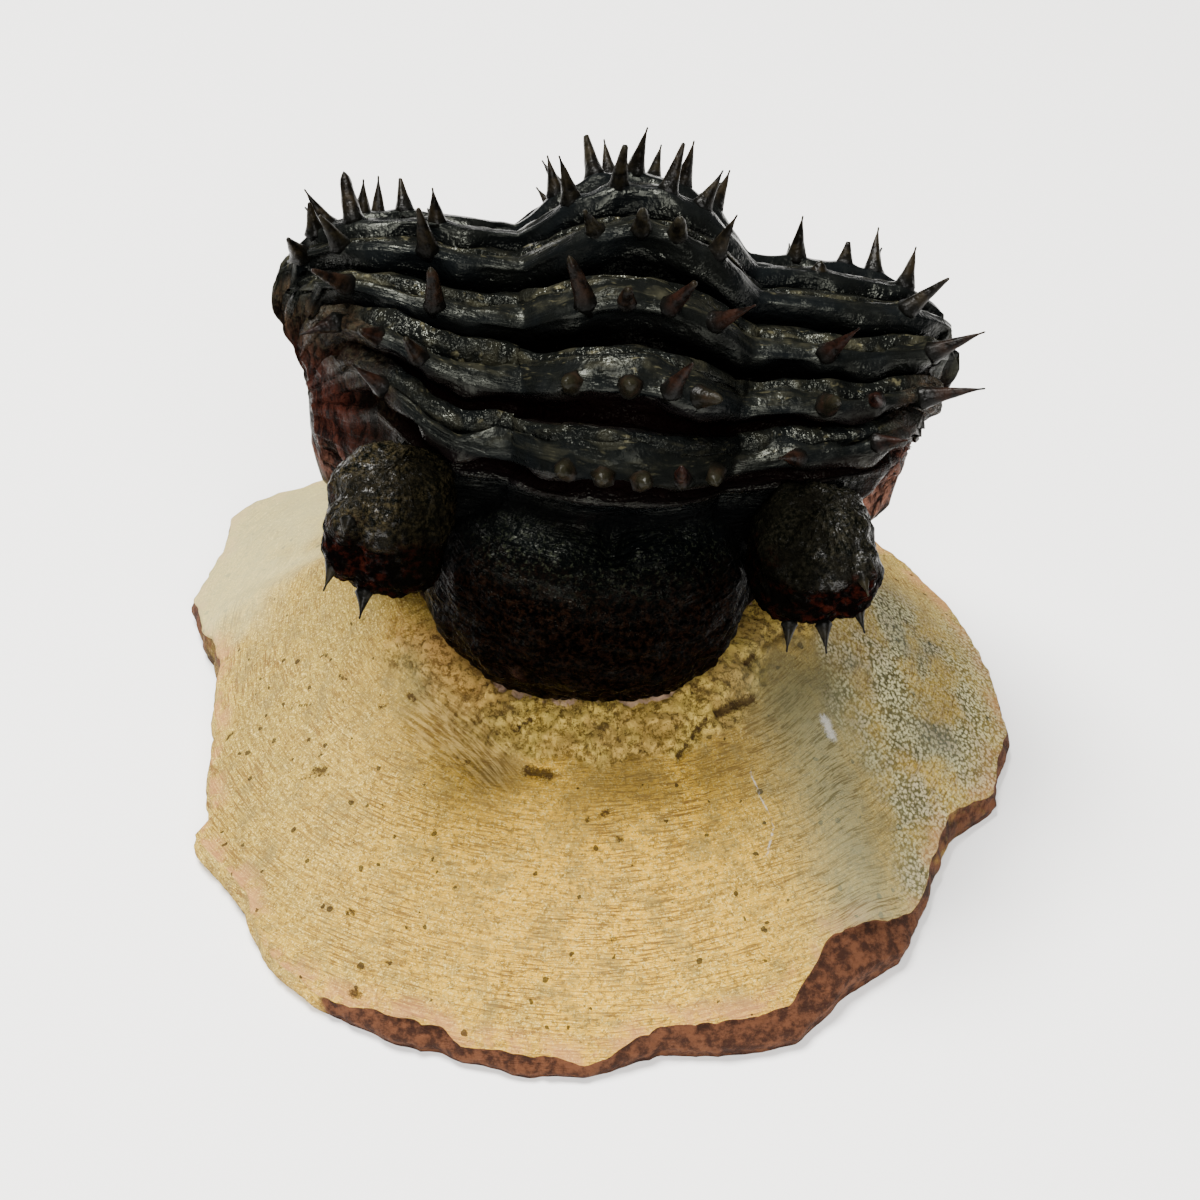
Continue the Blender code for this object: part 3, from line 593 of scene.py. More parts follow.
def head_relief(z):
    """Grains on the glabella, lumps on the head, and two brow lumps with a notch between them."""
    grainy = 0.3 * grains(z.points, 1.25, 1) - 0.15 + 0.16 * rough(z.points, 0.9, 8)
    lumpy = layered(z.points, (0.35, 3.6, 13), (0.22, 1.8, 14))
    brow_lumps = 0.8 * bump(np.abs(z.x - BROW_X), 4.2, 2.6) * bump(z.row, 9.0, 4.5)
    notch = 1.1 * bump(z.x, BROW_X, 1.3) * bump(z.row, 12.0, 5.0)
    return z.glabella * grainy + z.head * (lumpy + brow_lumps - notch)


def shell_relief(z):
    """Height of the shell's fine relief."""
    relief = layered(z.points, (0.22, 7.5, 1), (0.13, 2.8, 2), (0.07, 1.3, 3))
    relief += rib_relief(z) + head_relief(z)
    for foot, *_, ring in spine_list():
        if ring:
            relief += SPINE_SWELLING * bump(np.linalg.norm(z.points - np.array(foot), axis=-1), 0, 1.1)
    return relief + smooth(0.02, 0.3, z.sunk) * (0.45 * z.wrinkles**3 + 0.22 * rough(z.points, 1.6, 10))


def shell_masks(z):
    """The masks that the shell's colours follow."""
    height = z.points[..., 2]
    drift = 0.1 * rough(z.points, 3.0, 15)
    maroon = smooth(0.05, 0.4, z.sunk + drift) * (1 - smooth(110, 150, z.row))
    first_rings = bump(z.turns, 0.0, 0.5) + 0.55 * bump(z.turns, 1.0, 0.5)
    rib_ends = 0.6 * smooth(0.84, 0.96, z.beside) * (1 - smooth(45, 70, z.row))
    temple = smooth(0.62, 0.86, z.beside) * (1 - smooth(34, 64, z.row))
    # Painted shade: the furrow in front of each rib
    groove_shade = z.thorax * smooth(-0.44, -0.38, z.phase) * (1 - smooth(-0.28, -0.18, z.phase))
    return {
        "rib_way": z.flat,
        "crest": z.thorax * smooth(-0.3, -0.12, z.phase) * (1 - smooth(0.12, 0.34, z.phase)) * z.dorsal,
        # Rib plateaus that face up, where olive is painted as light from above, less on the first two rings
        "upper": z.plateau * z.dorsal * (0.35 + 0.65 * smooth(0.6, 2.2, z.turns)),
        "wrinkle": z.wrinkles,
        "low": smooth(42, 27, height),
        "high": smooth(43, 53, height),
        "temple": temple * (1 - smooth(0.2, 0.8, z.sunk)),
        "shade": bump(z.x, 0, 14) * bump(z.turns, 0.0, 0.45) * z.dorsal,
        "brow": z.glabella * smooth(-4, 6, z.row),
        "chin": z.glabella * smooth(10, -3, z.row),
        # Painted shade on the cheeks, in the recess between the glabella and the eyes
        "cheek": z.head * (1 - z.glabella) * z.dorsal,
        "maroon": maroon * np.maximum(smooth(54, 46, height + 20 * drift), smooth(0.25, 0.6, z.sunk)),
        "rust": np.clip(first_rings * (1 - smooth(-0.22, -0.08, z.phase)) * z.dorsal, 0, 1),
        "flank": np.maximum(smooth(0.02, 0.3, z.sunk), rib_ends),
        # Painted shade in the grooves, and in the creases beside the extra ridge on the left
        "groove": np.clip(groove_shade + z.between, 0, 1) * z.dorsal,
    }


def build_body():
    rows, columns = body_grid()
    row, across = np.broadcast_arrays(rows[:, None], columns[None, :])
    points = np.moveaxis(body_point(row, across), 0, -1)
    zones = shell_zones(points, row, across)
    relief = shell_relief(zones) * smooth(0.97, 0.9, np.abs(across))
    points = points + outward_normals(points) * relief[..., None]
    return mesh_object("fossil_shell_body", *closed_grid(points, shell_masks(zones)))


# -------------------- eyes


def eye_point(eye, way):
    """The point of an eye's rounded block in the direction WAY, an array of 3 parts, from its middle."""
    reach = sum(np.abs(part) ** EYE_SQUARENESS for part in way) ** (-1 / EYE_SQUARENESS)
    return np.array([EYE_CENTRES[eye][i] + way[i] * reach * EYE_RADII[i] for i in range(3)])


def build_eye(name, eye):
    """A knob with a smooth top, a grainy face that looks forward and down, and a lobe on its outer side."""
    turn = np.linspace(0, math.tau, EYE_SEGMENTS, endpoint=False)[:, None]
    tilt = np.linspace(0, math.pi, EYE_RINGS)[None, :]
    way = np.array([np.sin(tilt) * np.cos(turn), np.sin(tilt) * np.sin(turn), np.cos(tilt) + 0 * turn])
    points = np.moveaxis(lean(eye_point(eye, way)), 0, -1)
    outside = way[0] * (1 if eye else -1)
    face = smooth(0.55, 0.1, way[2] + 0.25 * rough(points, 3.0, 20)) * smooth(0.35, -0.15, way[1])
    brow = bump(way[2], 0.28, 0.13) * smooth(0.4, -0.1, way[1])
    folds = ridges(stacked(6 * np.arctan2(way[1], way[0]), 1.2 * way[2], 0 * way[0]), 1.0, 24)
    on_top = smooth(0.1, 0.4, way[2])
    lobe_gap = np.sqrt((outside - 0.8) ** 2 + (way[1] + 0.55) ** 2 + (0.6 * way[2]) ** 2)
    relief = layered(points, (0.42, 4.2, 21), (0.26, 1.9, 22), (0.07, 0.9, 23))
    relief += 0.3 * brow + 0.9 * bump(lobe_gap, 0, 0.28) - 0.5 * bump(lobe_gap, 0.48, 0.1)
    relief += on_top * (0.35 * folds**3 - 0.15) + face * (0.24 * grains(points, 0.95, 2) - 0.22)
    relief *= smooth(0.02, 0.12, np.sin(tilt))
    masks = {
        "face": face,
        # Painted shade on the side of the eye that faces the glabella
        "inner": smooth(0.35, -0.35, outside),
        "left": np.full(outside.shape, 1.0 - eye),
    }
    return mesh_object(name, *closed_grid(points + outward_normals(points) * relief[..., None], masks))


# -------------------- spines


def skin(row, across):
    """A point of the body with its outward direction, the way to the tail and the way to +X."""
    point = body_point(row, across)
    back = body_point(row + 0.5, across) - body_point(row - 0.5, across)
    over = body_point(row, across + 0.004) - body_point(row, across - 0.004)
    out = np.cross(over, back)
    out, back, over = (Vector(v).normalized() for v in (out, back, over))
    if out.dot(Vector(point) - Vector((0, ARCH_Y, ARCH_Z))) < 0:
        out = -out
    return Vector(point), out, back, over


def spine_list():
    """Foot, aim, length, radius, tip and ring of every spine. The eyes' spines have ring 0."""
    spines = []
    for ring in range(1, THORAX_RINGS + 1):
        row = FIRST_RING + RING_PITCH * (ring - 1)
        plain = [(place, PLAIN_SPINE_LENGTH, PLAIN_SPINE_TILT, tilt, 0) for place, tilt in PLAIN_SPINES]
        for place, length, tilt_back, tilt_over, tip in RING_SPINES.get(ring, plain):
            foot, out, back, over = skin(row, place * SHOULDER)
            aim = out + math.tan(math.radians(tilt_back)) * back + math.tan(math.radians(tilt_over)) * over
            swelling = NODE_SWELLING if ring <= 2 and tip >= BLUNT else 1.0
            radius = SPINE_RADIUS * (0.8 + 0.05 * length) * swelling
            spines.append((foot, aim.normalized(), length, radius, tip, ring))
    for eye, way, length in EYE_SPINES:
        way = Vector(way).normalized()
        foot = Vector(lean(eye_point(eye, way)))
        aim = (Vector(EYE_SPINE_AIM) + way * EYE_SPINE_SPREAD).normalized()
        spines.append((foot, aim, length, EYE_SPINE_RADIUS, 0, 0))
    return spines


def spine_cone(number, foot, aim, length, radius, tip, ring):
    """Vertices, faces and masks of one spine: a grooved, slightly bent cone with a flared foot."""
    side = aim.orthogonal().normalized()
    other = aim.cross(side)
    foot, aim, side, other = (np.array(v) for v in (foot, aim, side, other))
    dice = np.random.default_rng(100 + number)
    bend = dice.uniform(0.02, 0.07) * length
    lobes = dice.integers(3, 6)
    start = dice.uniform(0, math.tau)
    warm = dice.uniform(0.5, 1.0) * (ring in (1, 2, 3)) + dice.uniform(0, 0.2) * (ring > 3)
    blunt = tip >= BLUNT

    crown = length + (0.25 if blunt else 0.12) * radius
    above = length * np.linspace(0.03, 1, SPINE_RINGS) ** 1.1
    height = np.concatenate([[-SPINE_ROOT, -SPINE_ROOT, -0.5, -0.15], above, [crown]])
    share = np.clip(height / length, 0, 1)
    taper = (1 - share) ** (1.0 if ring else 1.2) * (1 - tip) + tip
    girth = radius * (0.92 * taper + 0.2 * np.exp(-np.abs(height) / 0.5))
    girth *= 1 + 0.6 * np.minimum(height, 0) / SPINE_ROOT
    if blunt:
        girth *= 1 - 0.5 * smooth(0.86, 1.0, share)
    if tip < SHARP:
        girth = np.maximum(girth, SHARP_GIRTH)
    girth[[0, -1]] = 0

    turn = np.linspace(0, math.tau, SPINE_SIDES, endpoint=False)[:, None]
    girth = girth * (1 + 0.07 * np.cos(lobes * turn + start) + 0.04 * np.cos(7 * turn + 3 * height))
    bend_way = side * math.cos(start) + other * math.sin(start)
    middle = foot + np.outer(height, aim) + np.outer(bend * share**2, bend_way)
    arms = np.cos(turn) * side + np.sin(turn) * other
    pale = 1.0 if ring in (1, 2) and blunt else 0.6 * (tip >= 0.3) * smooth(0.9, 1.0, share)
    masks = {"share": share + 0 * girth, "pale": pale + 0 * girth, "warm": warm + 0 * girth}
    return closed_grid(middle + arms[:, None] * girth[..., None], masks)


def build_spines():
    """Every spine, in one mesh."""
    cones = [spine_cone(number, *spine) for number, spine in enumerate(spine_list())]
    faces, base = [], 0
    for vertices, cone_faces, _ in cones:
        faces += [[corner + base for corner in face] for face in cone_faces]
        base += len(vertices)
    vertices = np.concatenate([vertices for vertices, *_ in cones])
    masks = {title: np.concatenate([own[title] for *_, own in cones]) for title in cones[0][2]}
    return mesh_object("fossil_spines", vertices, faces, masks)


# -------------------- the stone


def outline_radius(rays):
    """Distance from FOOT_CENTRE to the stone's outline along each ray."""
    corners = np.array(OUTLINE) - FOOT_CENTRE
    best = np.zeros(len(rays))
    for a, b in zip(corners, np.roll(corners, -1, 0)):
        edge = b - a
        spread = rays[:, 0] * edge[1] - rays[:, 1] * edge[0]
        spread = np.where(np.abs(spread) < 1e-9, 1e-9, spread)
        reach = (a[0] * edge[1] - a[1] * edge[0]) / spread
        share = (a[0] * rays[:, 1] - a[1] * rays[:, 0]) / spread
        hit = (share >= -1e-6) & (share <= 1 + 1e-6) & (reach > 0)
        best = np.where(hit, np.maximum(best, reach), best)
    return best


def stone_height(distance, way):
    """Height of the stone's top at a distance from the fossil, in the direction WAY."""
    share = distance / along(STONE_REACH, way)
    fall = np.maximum(0.0, 1 - share) ** along(SLOPE_POWER, way) - 0.5 * np.maximum(0.0, share - 1)
    in_front = smooth(-170, -140, way) * (1 - smooth(-30, 0, way))
    collar = COLLAR_HEIGHT * bump(distance, COLLAR_PLACE, COLLAR_WIDTH) * in_front
    edge = along(EDGE_HEIGHT, way)
    return edge + (along(FOOT_HEIGHT, way) - edge) * fall + collar


def stone_grid(way, rays):
    """The mound's points, on rings from its middle over the top, round the broken edge and under the base.

    Then each ring's EDGE (0 on top, 1 on the broken edge, 0.5 under the base), the brim and its height.
    """
    centre = np.array(FOOT_CENTRE)
    foot = centre + rays * FOOT_RADII
    nibble = NIBBLE_DEPTH * np.abs(fractal(NIBBLE_CIRCLE * stacked(*rays.T, 0 * way), 3.2, 3, 40))
    end = centre + rays * (outline_radius(rays) - nibble)[:, None]
    brim = end - rays * (along(EDGE_CUT, way) + 0.4 * nibble)[:, None]
    rings, edges = [], []

    def ring(places, height, edge):
        rings.append(stacked(*places.T, height))
        edges.append(edge)

    ring(centre + 0 * rays, TOP_HEIGHT, 0)
    for share in STONE_FOOT_SHARES:
        ring(centre + (foot - centre) * share, stone_height(0 * way, way), 0)
    for share in np.linspace(0, 1, STONE_SLOPE_RINGS):
        places = foot + (brim - foot) * share
        ring(places, stone_height(np.linalg.norm(places - foot, axis=1), way), 0)
    brim_height = rings[-1][:, 2]
    for share in np.arange(1, STONE_EDGE_RINGS + 1) / STONE_EDGE_RINGS:
        out = smooth(0, 1 - EDGE_BELLY, share)
        drawn_in = EDGE_UNDERCUT * smooth(1 - EDGE_BELLY, 1, share)
        ring(brim + (end - brim) * out - rays * drawn_in, brim_height * (1 - share), 1)
    for share in STONE_BASE_SHARES:
        ring(centre + (end - centre) * share, 0, 0.5)
    return np.stack(rings, axis=1), np.array(edges), brim, brim_height


def near_fossil(points, tree):
    """Distance of each point from the fossil's skin."""
    gaps = [tree.find_nearest(Vector(point * MM))[3] / MM for point in points.reshape(-1, 3)]
    return np.array(gaps).reshape(points.shape[:-1])


def segment_gap(z, start, end):
    """Distance from a segment, seen from above."""
    run = np.array(end, float) - start
    share = np.clip(((z.x - start[0]) * run[0] + (z.y - start[1]) * run[1]) / (run @ run), 0, 1)
    return np.hypot(z.x - start[0] - share * run[0], z.y - start[1] - share * run[1])


def mark_gap(z, marks):
    """Distance from the nearest mark in half widths: FAR or more where no mark is near, and off the top."""
    gaps = [segment_gap(z, start, end) / width for start, end, width, *_ in marks]
    return np.minimum(np.min(gaps, axis=0), FAR) + FAR * (1 - z.top)


def stone_zones(points, edge, way, tree):
    """Where each point of the stone lies, and how far it belongs to the collar and to the rough side."""
    z = SimpleNamespace(points=points, way=way, top=(edge == 0).astype(float) + 0 * way)
    z.x, z.y, _ = np.moveaxis(points, -1, 0)
    z.near = near_fossil(points, tree)
    z.front = smooth(-165, -140, way) * (1 - smooth(-25, -5, way))
    collar_edge = COLLAR_EDGE + layered(points, (0.9, 4.0, 41), (0.5, 1.7, 42))
    z.collar = z.front * (1 - smooth(collar_edge - 0.5, collar_edge + 0.4, z.near)) * z.top
    border = ROUGH_SIDE_X + ROUGH_SIDE_SHIFT * smooth(-6, -17, z.y) + 0.9 * rough(points, 3.0, 43)
    corner = smooth(-4.5, -1.0, z.x - CORNER_X + 0.25 * np.abs(z.y))
    z.rough_side = smooth(-1.0, 1.6, z.x - border) * smooth(-30, -24, z.y) * (1 - smooth(10, 20, z.y))
    z.rough_side *= 0.35 + 0.65 * smooth(-0.5, 0.3, fractal(points, 5.0, 3, 50)) * (1 - 0.6 * corner)
    z.rough_side *= z.top
    return z


def stone_relief(z):
    """Height of the stone's fine relief: spurs, a trough, scars, the crumbly collar and the rough side."""
    relief = layered(z.points, (0.22, 9.0, 44), (0.06, 3.0, 45))
    for start, end, width, height in SPURS:
        relief += height * bump(segment_gap(z, start, end), 0, width)
    trough = bump(z.near, TROUGH_PLACE, TROUGH_WIDTH) * smooth(-150, -135, z.way)
    relief -= TROUGH_DEPTH * trough * (1 - smooth(-118, -100, z.way))
    for start, end, width, depth in SCARS:
        relief -= depth * bump(segment_gap(z, start, end), 0, 1.2 * width)
    crumbs = 0.35 + 0.7 * fractal(z.points, 1.8, 3, 46) - 0.4 * (grains(z.points, 1.3, 3) < 0.25)
    relief += z.collar * crumbs + 0.1 * z.rough_side * fractal(z.points, 0.9, 2, 47)
    return (relief - 0.5 * (1 - smooth(0.0, 0.7, z.near))) * z.top


def stone_masks(z, drift):
    """The masks that the stone's colours follow, all but those of its edge."""
    patch = {name: bump(segment_gap(z, *ends), 0, width) for name, (*ends, width) in PATCHES.items()}
    blue = sum(bump(np.hypot(z.x - x, z.y - y), 0, size) for (x, y), size in BLUE_CLOUDS)
    # The green patch joins the hollow's painted shade
    patch["hollow"] = np.clip(patch["hollow"] + 0.7 * patch.pop("green"), 0, 1)
    patch["blue"] = np.clip(blue, 0, 1)
    patch["cool"] = smooth(7, 19, z.y + 4 * drift) * smooth(-19, -32, z.x + 5 * drift)
    return {
        **{name: share * z.top for name, share in patch.items()},
        "stripes": stacked(0.25 * (z.x - z.y), 2.8 * (z.x + z.y), 0 * z.x),
        "scar": mark_gap(z, SCARS),
        "chalk": mark_gap(z, CHALK),
        "near": z.near,
        "collar": z.collar,
        "rough_side": z.rough_side,
        "front": z.front,
        "golden": bump(z.way, -88, 42),
    }


def build_stone(tree):
    way = np.linspace(-180, 180, STONE_SPOKES, endpoint=False)
    rays = stacked(np.cos(np.radians(way)), np.sin(np.radians(way)))
    points, edge, brim, brim_height = stone_grid(way, rays)
    zones = stone_zones(points, edge, way[:, None] + 0 * edge, tree)
    fracture = 0.5 * fractal(points * (1, 1, 0.6), 3.2, 3, 48) + 0.15 * rough(points, 0.8, 49)
    belly = (edge == 1) * bump(points[..., 2] / np.maximum(brim_height[:, None], 1), 0.5, 0.42)
    depth = belly * np.clip(0.1 + 0.7 * fracture, 0, 0.9)
    made = points + outward_normals(points) * stone_relief(zones)[..., None]
    made -= stacked(*rays.T, 0 * way)[:, None] * depth[..., None]
    masks = stone_masks(zones, fractal(made, 8.0, 4, 51))
    masks["rim"] = smooth(2.4, 0.2, np.linalg.norm(points[..., :2] - brim[:, None], axis=-1)) * zones.top
    masks["broken"] = edge * along(EDGE_BROKEN, zones.way)
    return mesh_object("stone_mound", *closed_grid(made, masks))


# -------------------- materials


def rgb(colour):
    """An sRGB colour of 3 parts, 0 to 255, as a shader's linear colour. Other values stay as they are."""
    if not isinstance(colour, tuple) or len(colour) != 3:
        return colour
    linear = [((part / 255 + 0.055) / 1.055) ** 2.4 if part > 10 else part / 255 / 12.92 for part in colour]
    return (*linear, 1.0)


class Value:
    """A node's output. Sums and products of values, and the methods here, make further nodes."""

    def __init__(self, nodes, socket):
        self.nodes, self.socket = nodes, socket

    def __add__(self, other):
        return self.nodes.math("ADD", self, other)

    def __sub__(self, other):
        return self.nodes.math("SUBTRACT", self, other)

    def __mul__(self, other):
        return self.nodes.math("MULTIPLY", self, other)

    def at_least(self, other):
        return self.nodes.math("MAXIMUM", self, other)

    def below(self, other):
        """1 where the value is less than the other, and 0 elsewhere."""
        return self.nodes.math("LESS_THAN", self, other)

    def clamped(self):
        """The same sum or product, kept from 0 to 1."""
        self.socket.node.use_clamp = True
        return self

    def span(self, low, high, to_low=0.0, to_high=1.0):
        """A smooth step from to_low to to_high as the value goes from low to high."""
        inputs = {"Value": self, "From Min": low, "From Max": high, "To Min": to_low, "To Max": to_high}
        return self.nodes.node("MapRange", "Result", inputs, interpolation_type="SMOOTHSTEP")

    def mix(self, a, b):
        """Colour A where the value is 0, and B where it is 1."""
        return self.nodes.node("Mix", 2, {"Factor": self, 6: rgb(a), 7: rgb(b)}, data_type="RGBA")


class Nodes:
    """A material's node tree, and the COLOUR that is painted on it so far."""

    def __init__(self, name):
        self.material = bpy.data.materials.new(name)
        self.material.use_nodes = True
        self.tree = self.material.node_tree
        self.colour = None

    def put(self, value, socket):
        """Sets a socket to a number or colour, or links it."""
        if isinstance(value, Value):
            self.tree.links.new(value.socket, socket)
        else:
            socket.default_value = value

    def node(self, kind, output, inputs, **settings):
        """One output of a new node with these settings and inputs."""
        node = self.tree.nodes.new("ShaderNode" + kind)
        for title, value in settings.items():
            setattr(node, title, value)
        for title, value in inputs.items():
            self.put(value, node.inputs[title])
        return Value(self, node.outputs[output])

    def mask(self, name, output="Fac"):
        return self.node("Attribute", output, {}, attribute_name=name)

    def masks(self, names):
        return [self.mask(name) for name in names.split()]

    @cached_property
    def place(self):
        """The point's place in millimetres."""
        return self.scaled(self.node("TexCoord", "Object", {}), 1 / MM)

    def scaled(self, vector, scale):
        return self.node("VectorMath", 0, {0: vector, "Scale": scale}, operation="SCALE")

    def vector(self, operation, a, b=(0, 0, 0)):
        output = "Value" if operation == "LENGTH" else "Vector"
        return self.node("VectorMath", output, {0: a, 1: b}, operation=operation)

    def math(self, operation, a, b):
        return self.node("Math", 0, {0: a, 1: b}, operation=operation)

    def noise(self, scale, detail=3.0, roughness=0.55, distortion=0.0, at=None):
        inputs = {"Scale": scale, "Detail": detail, "Roughness": roughness, "Distortion": distortion}
        return self.node("TexNoise", "Fac", {"Vector": at or self.place, **inputs})

    def cells(self, scale):
        """Distance from the nearest of a set of scattered points."""
        return self.node("TexVoronoi", "Distance", {"Vector": self.place, "Scale": scale})

    def bumped(self, height, distance, strength=1.0):
        inputs = {"Strength": strength, "Distance": distance * MM, "Height": height}
        return self.node("Bump", "Normal", inputs)

    def paint(self, colour, share):
        """Paints a colour over what is there, where the share is 1."""
        self.colour = share.mix(self.colour, colour)

    def shade(self, **sockets):
        """Puts the painted colour and other values on the shader. Gives the material."""
        shader = self.tree.nodes["Principled BSDF"]
        for title, value in {"Base_Color": self.colour, **sockets}.items():
            self.put(value, shader.inputs[title.replace("_", " ")])
        return self.material


def shell_material():
    n = Nodes("fossil_shell")
    way = n.mask("rib_way", "Vector")
    stretched = n.vector("MULTIPLY", way, (0.16, 1, 1))
    strands = n.noise(2.2, 2, 0.6, 0.4, at=stretched)
    upper, crest, groove, brow, chin, cheek, flank = n.masks("upper crest groove brow chin cheek flank")

    # Olive strands and pale threads on near-black ribs, lighter on the plateaus that face up as painted
    # light from above, and grooves painted black as painted shade
    n.colour = n.noise(0.16).span(0.35, 0.65).mix((8, 9, 8), (8, 10, 11))
    olive = strands.span(0.44, 0.64).mix((9, 10, 8), (42, 41, 31))
    # Painted light: olive on the plateaus that face up, partly the strands' own colour and partly light
    # falling from above
    n.paint(n.noise(0.35).span(0.42, 0.6, 0, 0.8).mix(olive, (9, 10, 9)), upper * 0.85)
    patchy = n.noise(0.45, 2).span(0.46, 0.64)
    # Painted highlights: pale threads along the strands of the lit plateaus
    lit_threads = n.noise(5, 2, 0.6, at=stretched).span(0.58, 0.68) * (upper * patchy)
    n.paint((96, 92, 68), lit_threads.clamped() * 0.6)
    # Painted shade: the grooves are painted near black
    n.paint((1, 1, 1), groove * 0.98)
    # The head, with painted shade on the cheeks between the eyes and the glabella, and rust on the first
    # rings
    # Painted shade: the cheeks are darkened almost to black
    n.paint((3, 3, 3), cheek * 0.8)
    n.paint(n.noise(2.4, 4, 0.7).span(0.54, 0.66).mix((2, 3, 3), (31, 34, 25)), brow)
    n.paint(n.noise(2, 5, 0.75).span(0.44, 0.66).mix((0, 0, 0), (17, 8, 4)), chin)
    n.paint((24, 7, 6), n.mask("rust") * 0.3)
    # The flanks: drab, and maroon with flesh-coloured streaks below
    fibres = n.noise(1.7, 5, 0.75, at=n.vector("MULTIPLY", n.place, (1, 1, 0.22)))
    low = n.mask("low")
    streaks = (n.mask("wrinkle") * 0.35 + fibres + low * 0.05).span(0.66, 0.94)
    maroon = streaks.mix((16, 8, 7), low.mix((64, 32, 25), (158, 110, 92)))
    drab = streaks.mix((9, 7, 5), n.mask("temple").mix((74, 60, 44), (31, 19, 14)))
    # Lighter olive-grey in patches on the highest part of the flank
    high_flank_tone = n.mask("high") * n.noise(1.3, 5, 0.75).span(0.46, 0.62, 0, 0.7)
    n.paint(high_flank_tone.mix(drab, (62, 56, 42)), flank.span(0.1, 0.8, 0, 0.9))
    n.paint(maroon, n.mask("maroon") * 0.9)

    height = (strands * 0.8 + n.noise(1.5, 2, 0.6) * 0.7) * crest.span(0.2, 0.9, 1, 0.3)
    height += fibres * flank * 1.6
    dull = (flank * 0.95 + (chin + cheek)).clamped().at_least(n.mask("shade") * 0.85)
    wet = n.noise(0.7, 3, 0.6, at=n.vector("MULTIPLY", way, (0.3, 1, 1)))
    sheen = n.noise(0.55, 3, 0.7).span(0.52, 0.62, 0.06, 0.6)
    level = wet.span(0.42, 0.66, 0.04, 0.27) * dull.span(0, 1, 1, 0.06)
    # The grooves also lose most of their reflection, as painted shade
    level = level * brow.mix((1, 1, 1, 1), sheen) * groove.span(0.2, 0.8, 1, 0.05)
    return n.shade(
        Roughness=n.noise(1.1).span(0.35, 0.65, 0.12, 0.28) + crest * 0.1, Normal=n.bumped(height, 0.6),
        Specular_IOR_Level=level, Specular_Tint=(0.8, 0.84, 0.72, 1),
    )


def eye_material():
    n = Nodes("fossil_eye")
    face, inner, left = n.masks("face inner left")
    speckle = n.noise(2.1, 5, 0.75)
    n.colour = speckle.span(0.42, 0.68).mix((3, 4, 3), left.mix((34, 32, 24), (50, 44, 29)))
    n.paint((12, 11, 8), n.noise(0.3, 3, 0.6).span(0.44, 0.6, 0, 0.7))
    n.paint(n.noise(0.9, 4, 0.65).span(0.48, 0.7).mix((2, 1, 1), (36, 11, 6)), face * 0.95)
    # Painted shade: the side that faces the glabella is darkened
    n.paint((2, 2, 1), inner * 0.7)
    height = n.noise(1, 3, 0.6) + n.noise(3, 1) * 0.2
    wet = n.noise(1.1, 3, 0.6).span(0.54, 0.68, 0.02, 0.3)
    level = wet * face.at_least(inner).span(0, 1, 1, 0.05)
    roughness = speckle.span(0.3, 0.7, 0.16, 0.34)
    return n.shade(Roughness=roughness, Normal=n.bumped(height, 0.7), Specular_IOR_Level=level)


def spine_material():
    n = Nodes("fossil_spine")
    share, pale, warm = n.masks("share pale warm")
    streak = n.noise(0.8, 3, 0.6)
    streaks = streak.span(0.4, 0.62)
    own = warm.mix(streaks.mix((7, 6, 4), (24, 21, 12)), streaks.mix((7, 4, 3), (27, 11, 7)))
    n.colour = share.span(0, 0.45).mix((6, 6, 5), own)
    n.paint((23, 22, 14), pale * share * 0.9)
    normal = n.bumped(n.noise(1.6, 2), 0.25, 0.6)
    return n.shade(Roughness=streak.span(0.3, 0.7, 0.28, 0.45), Normal=normal, Specular_IOR_Level=0.07)


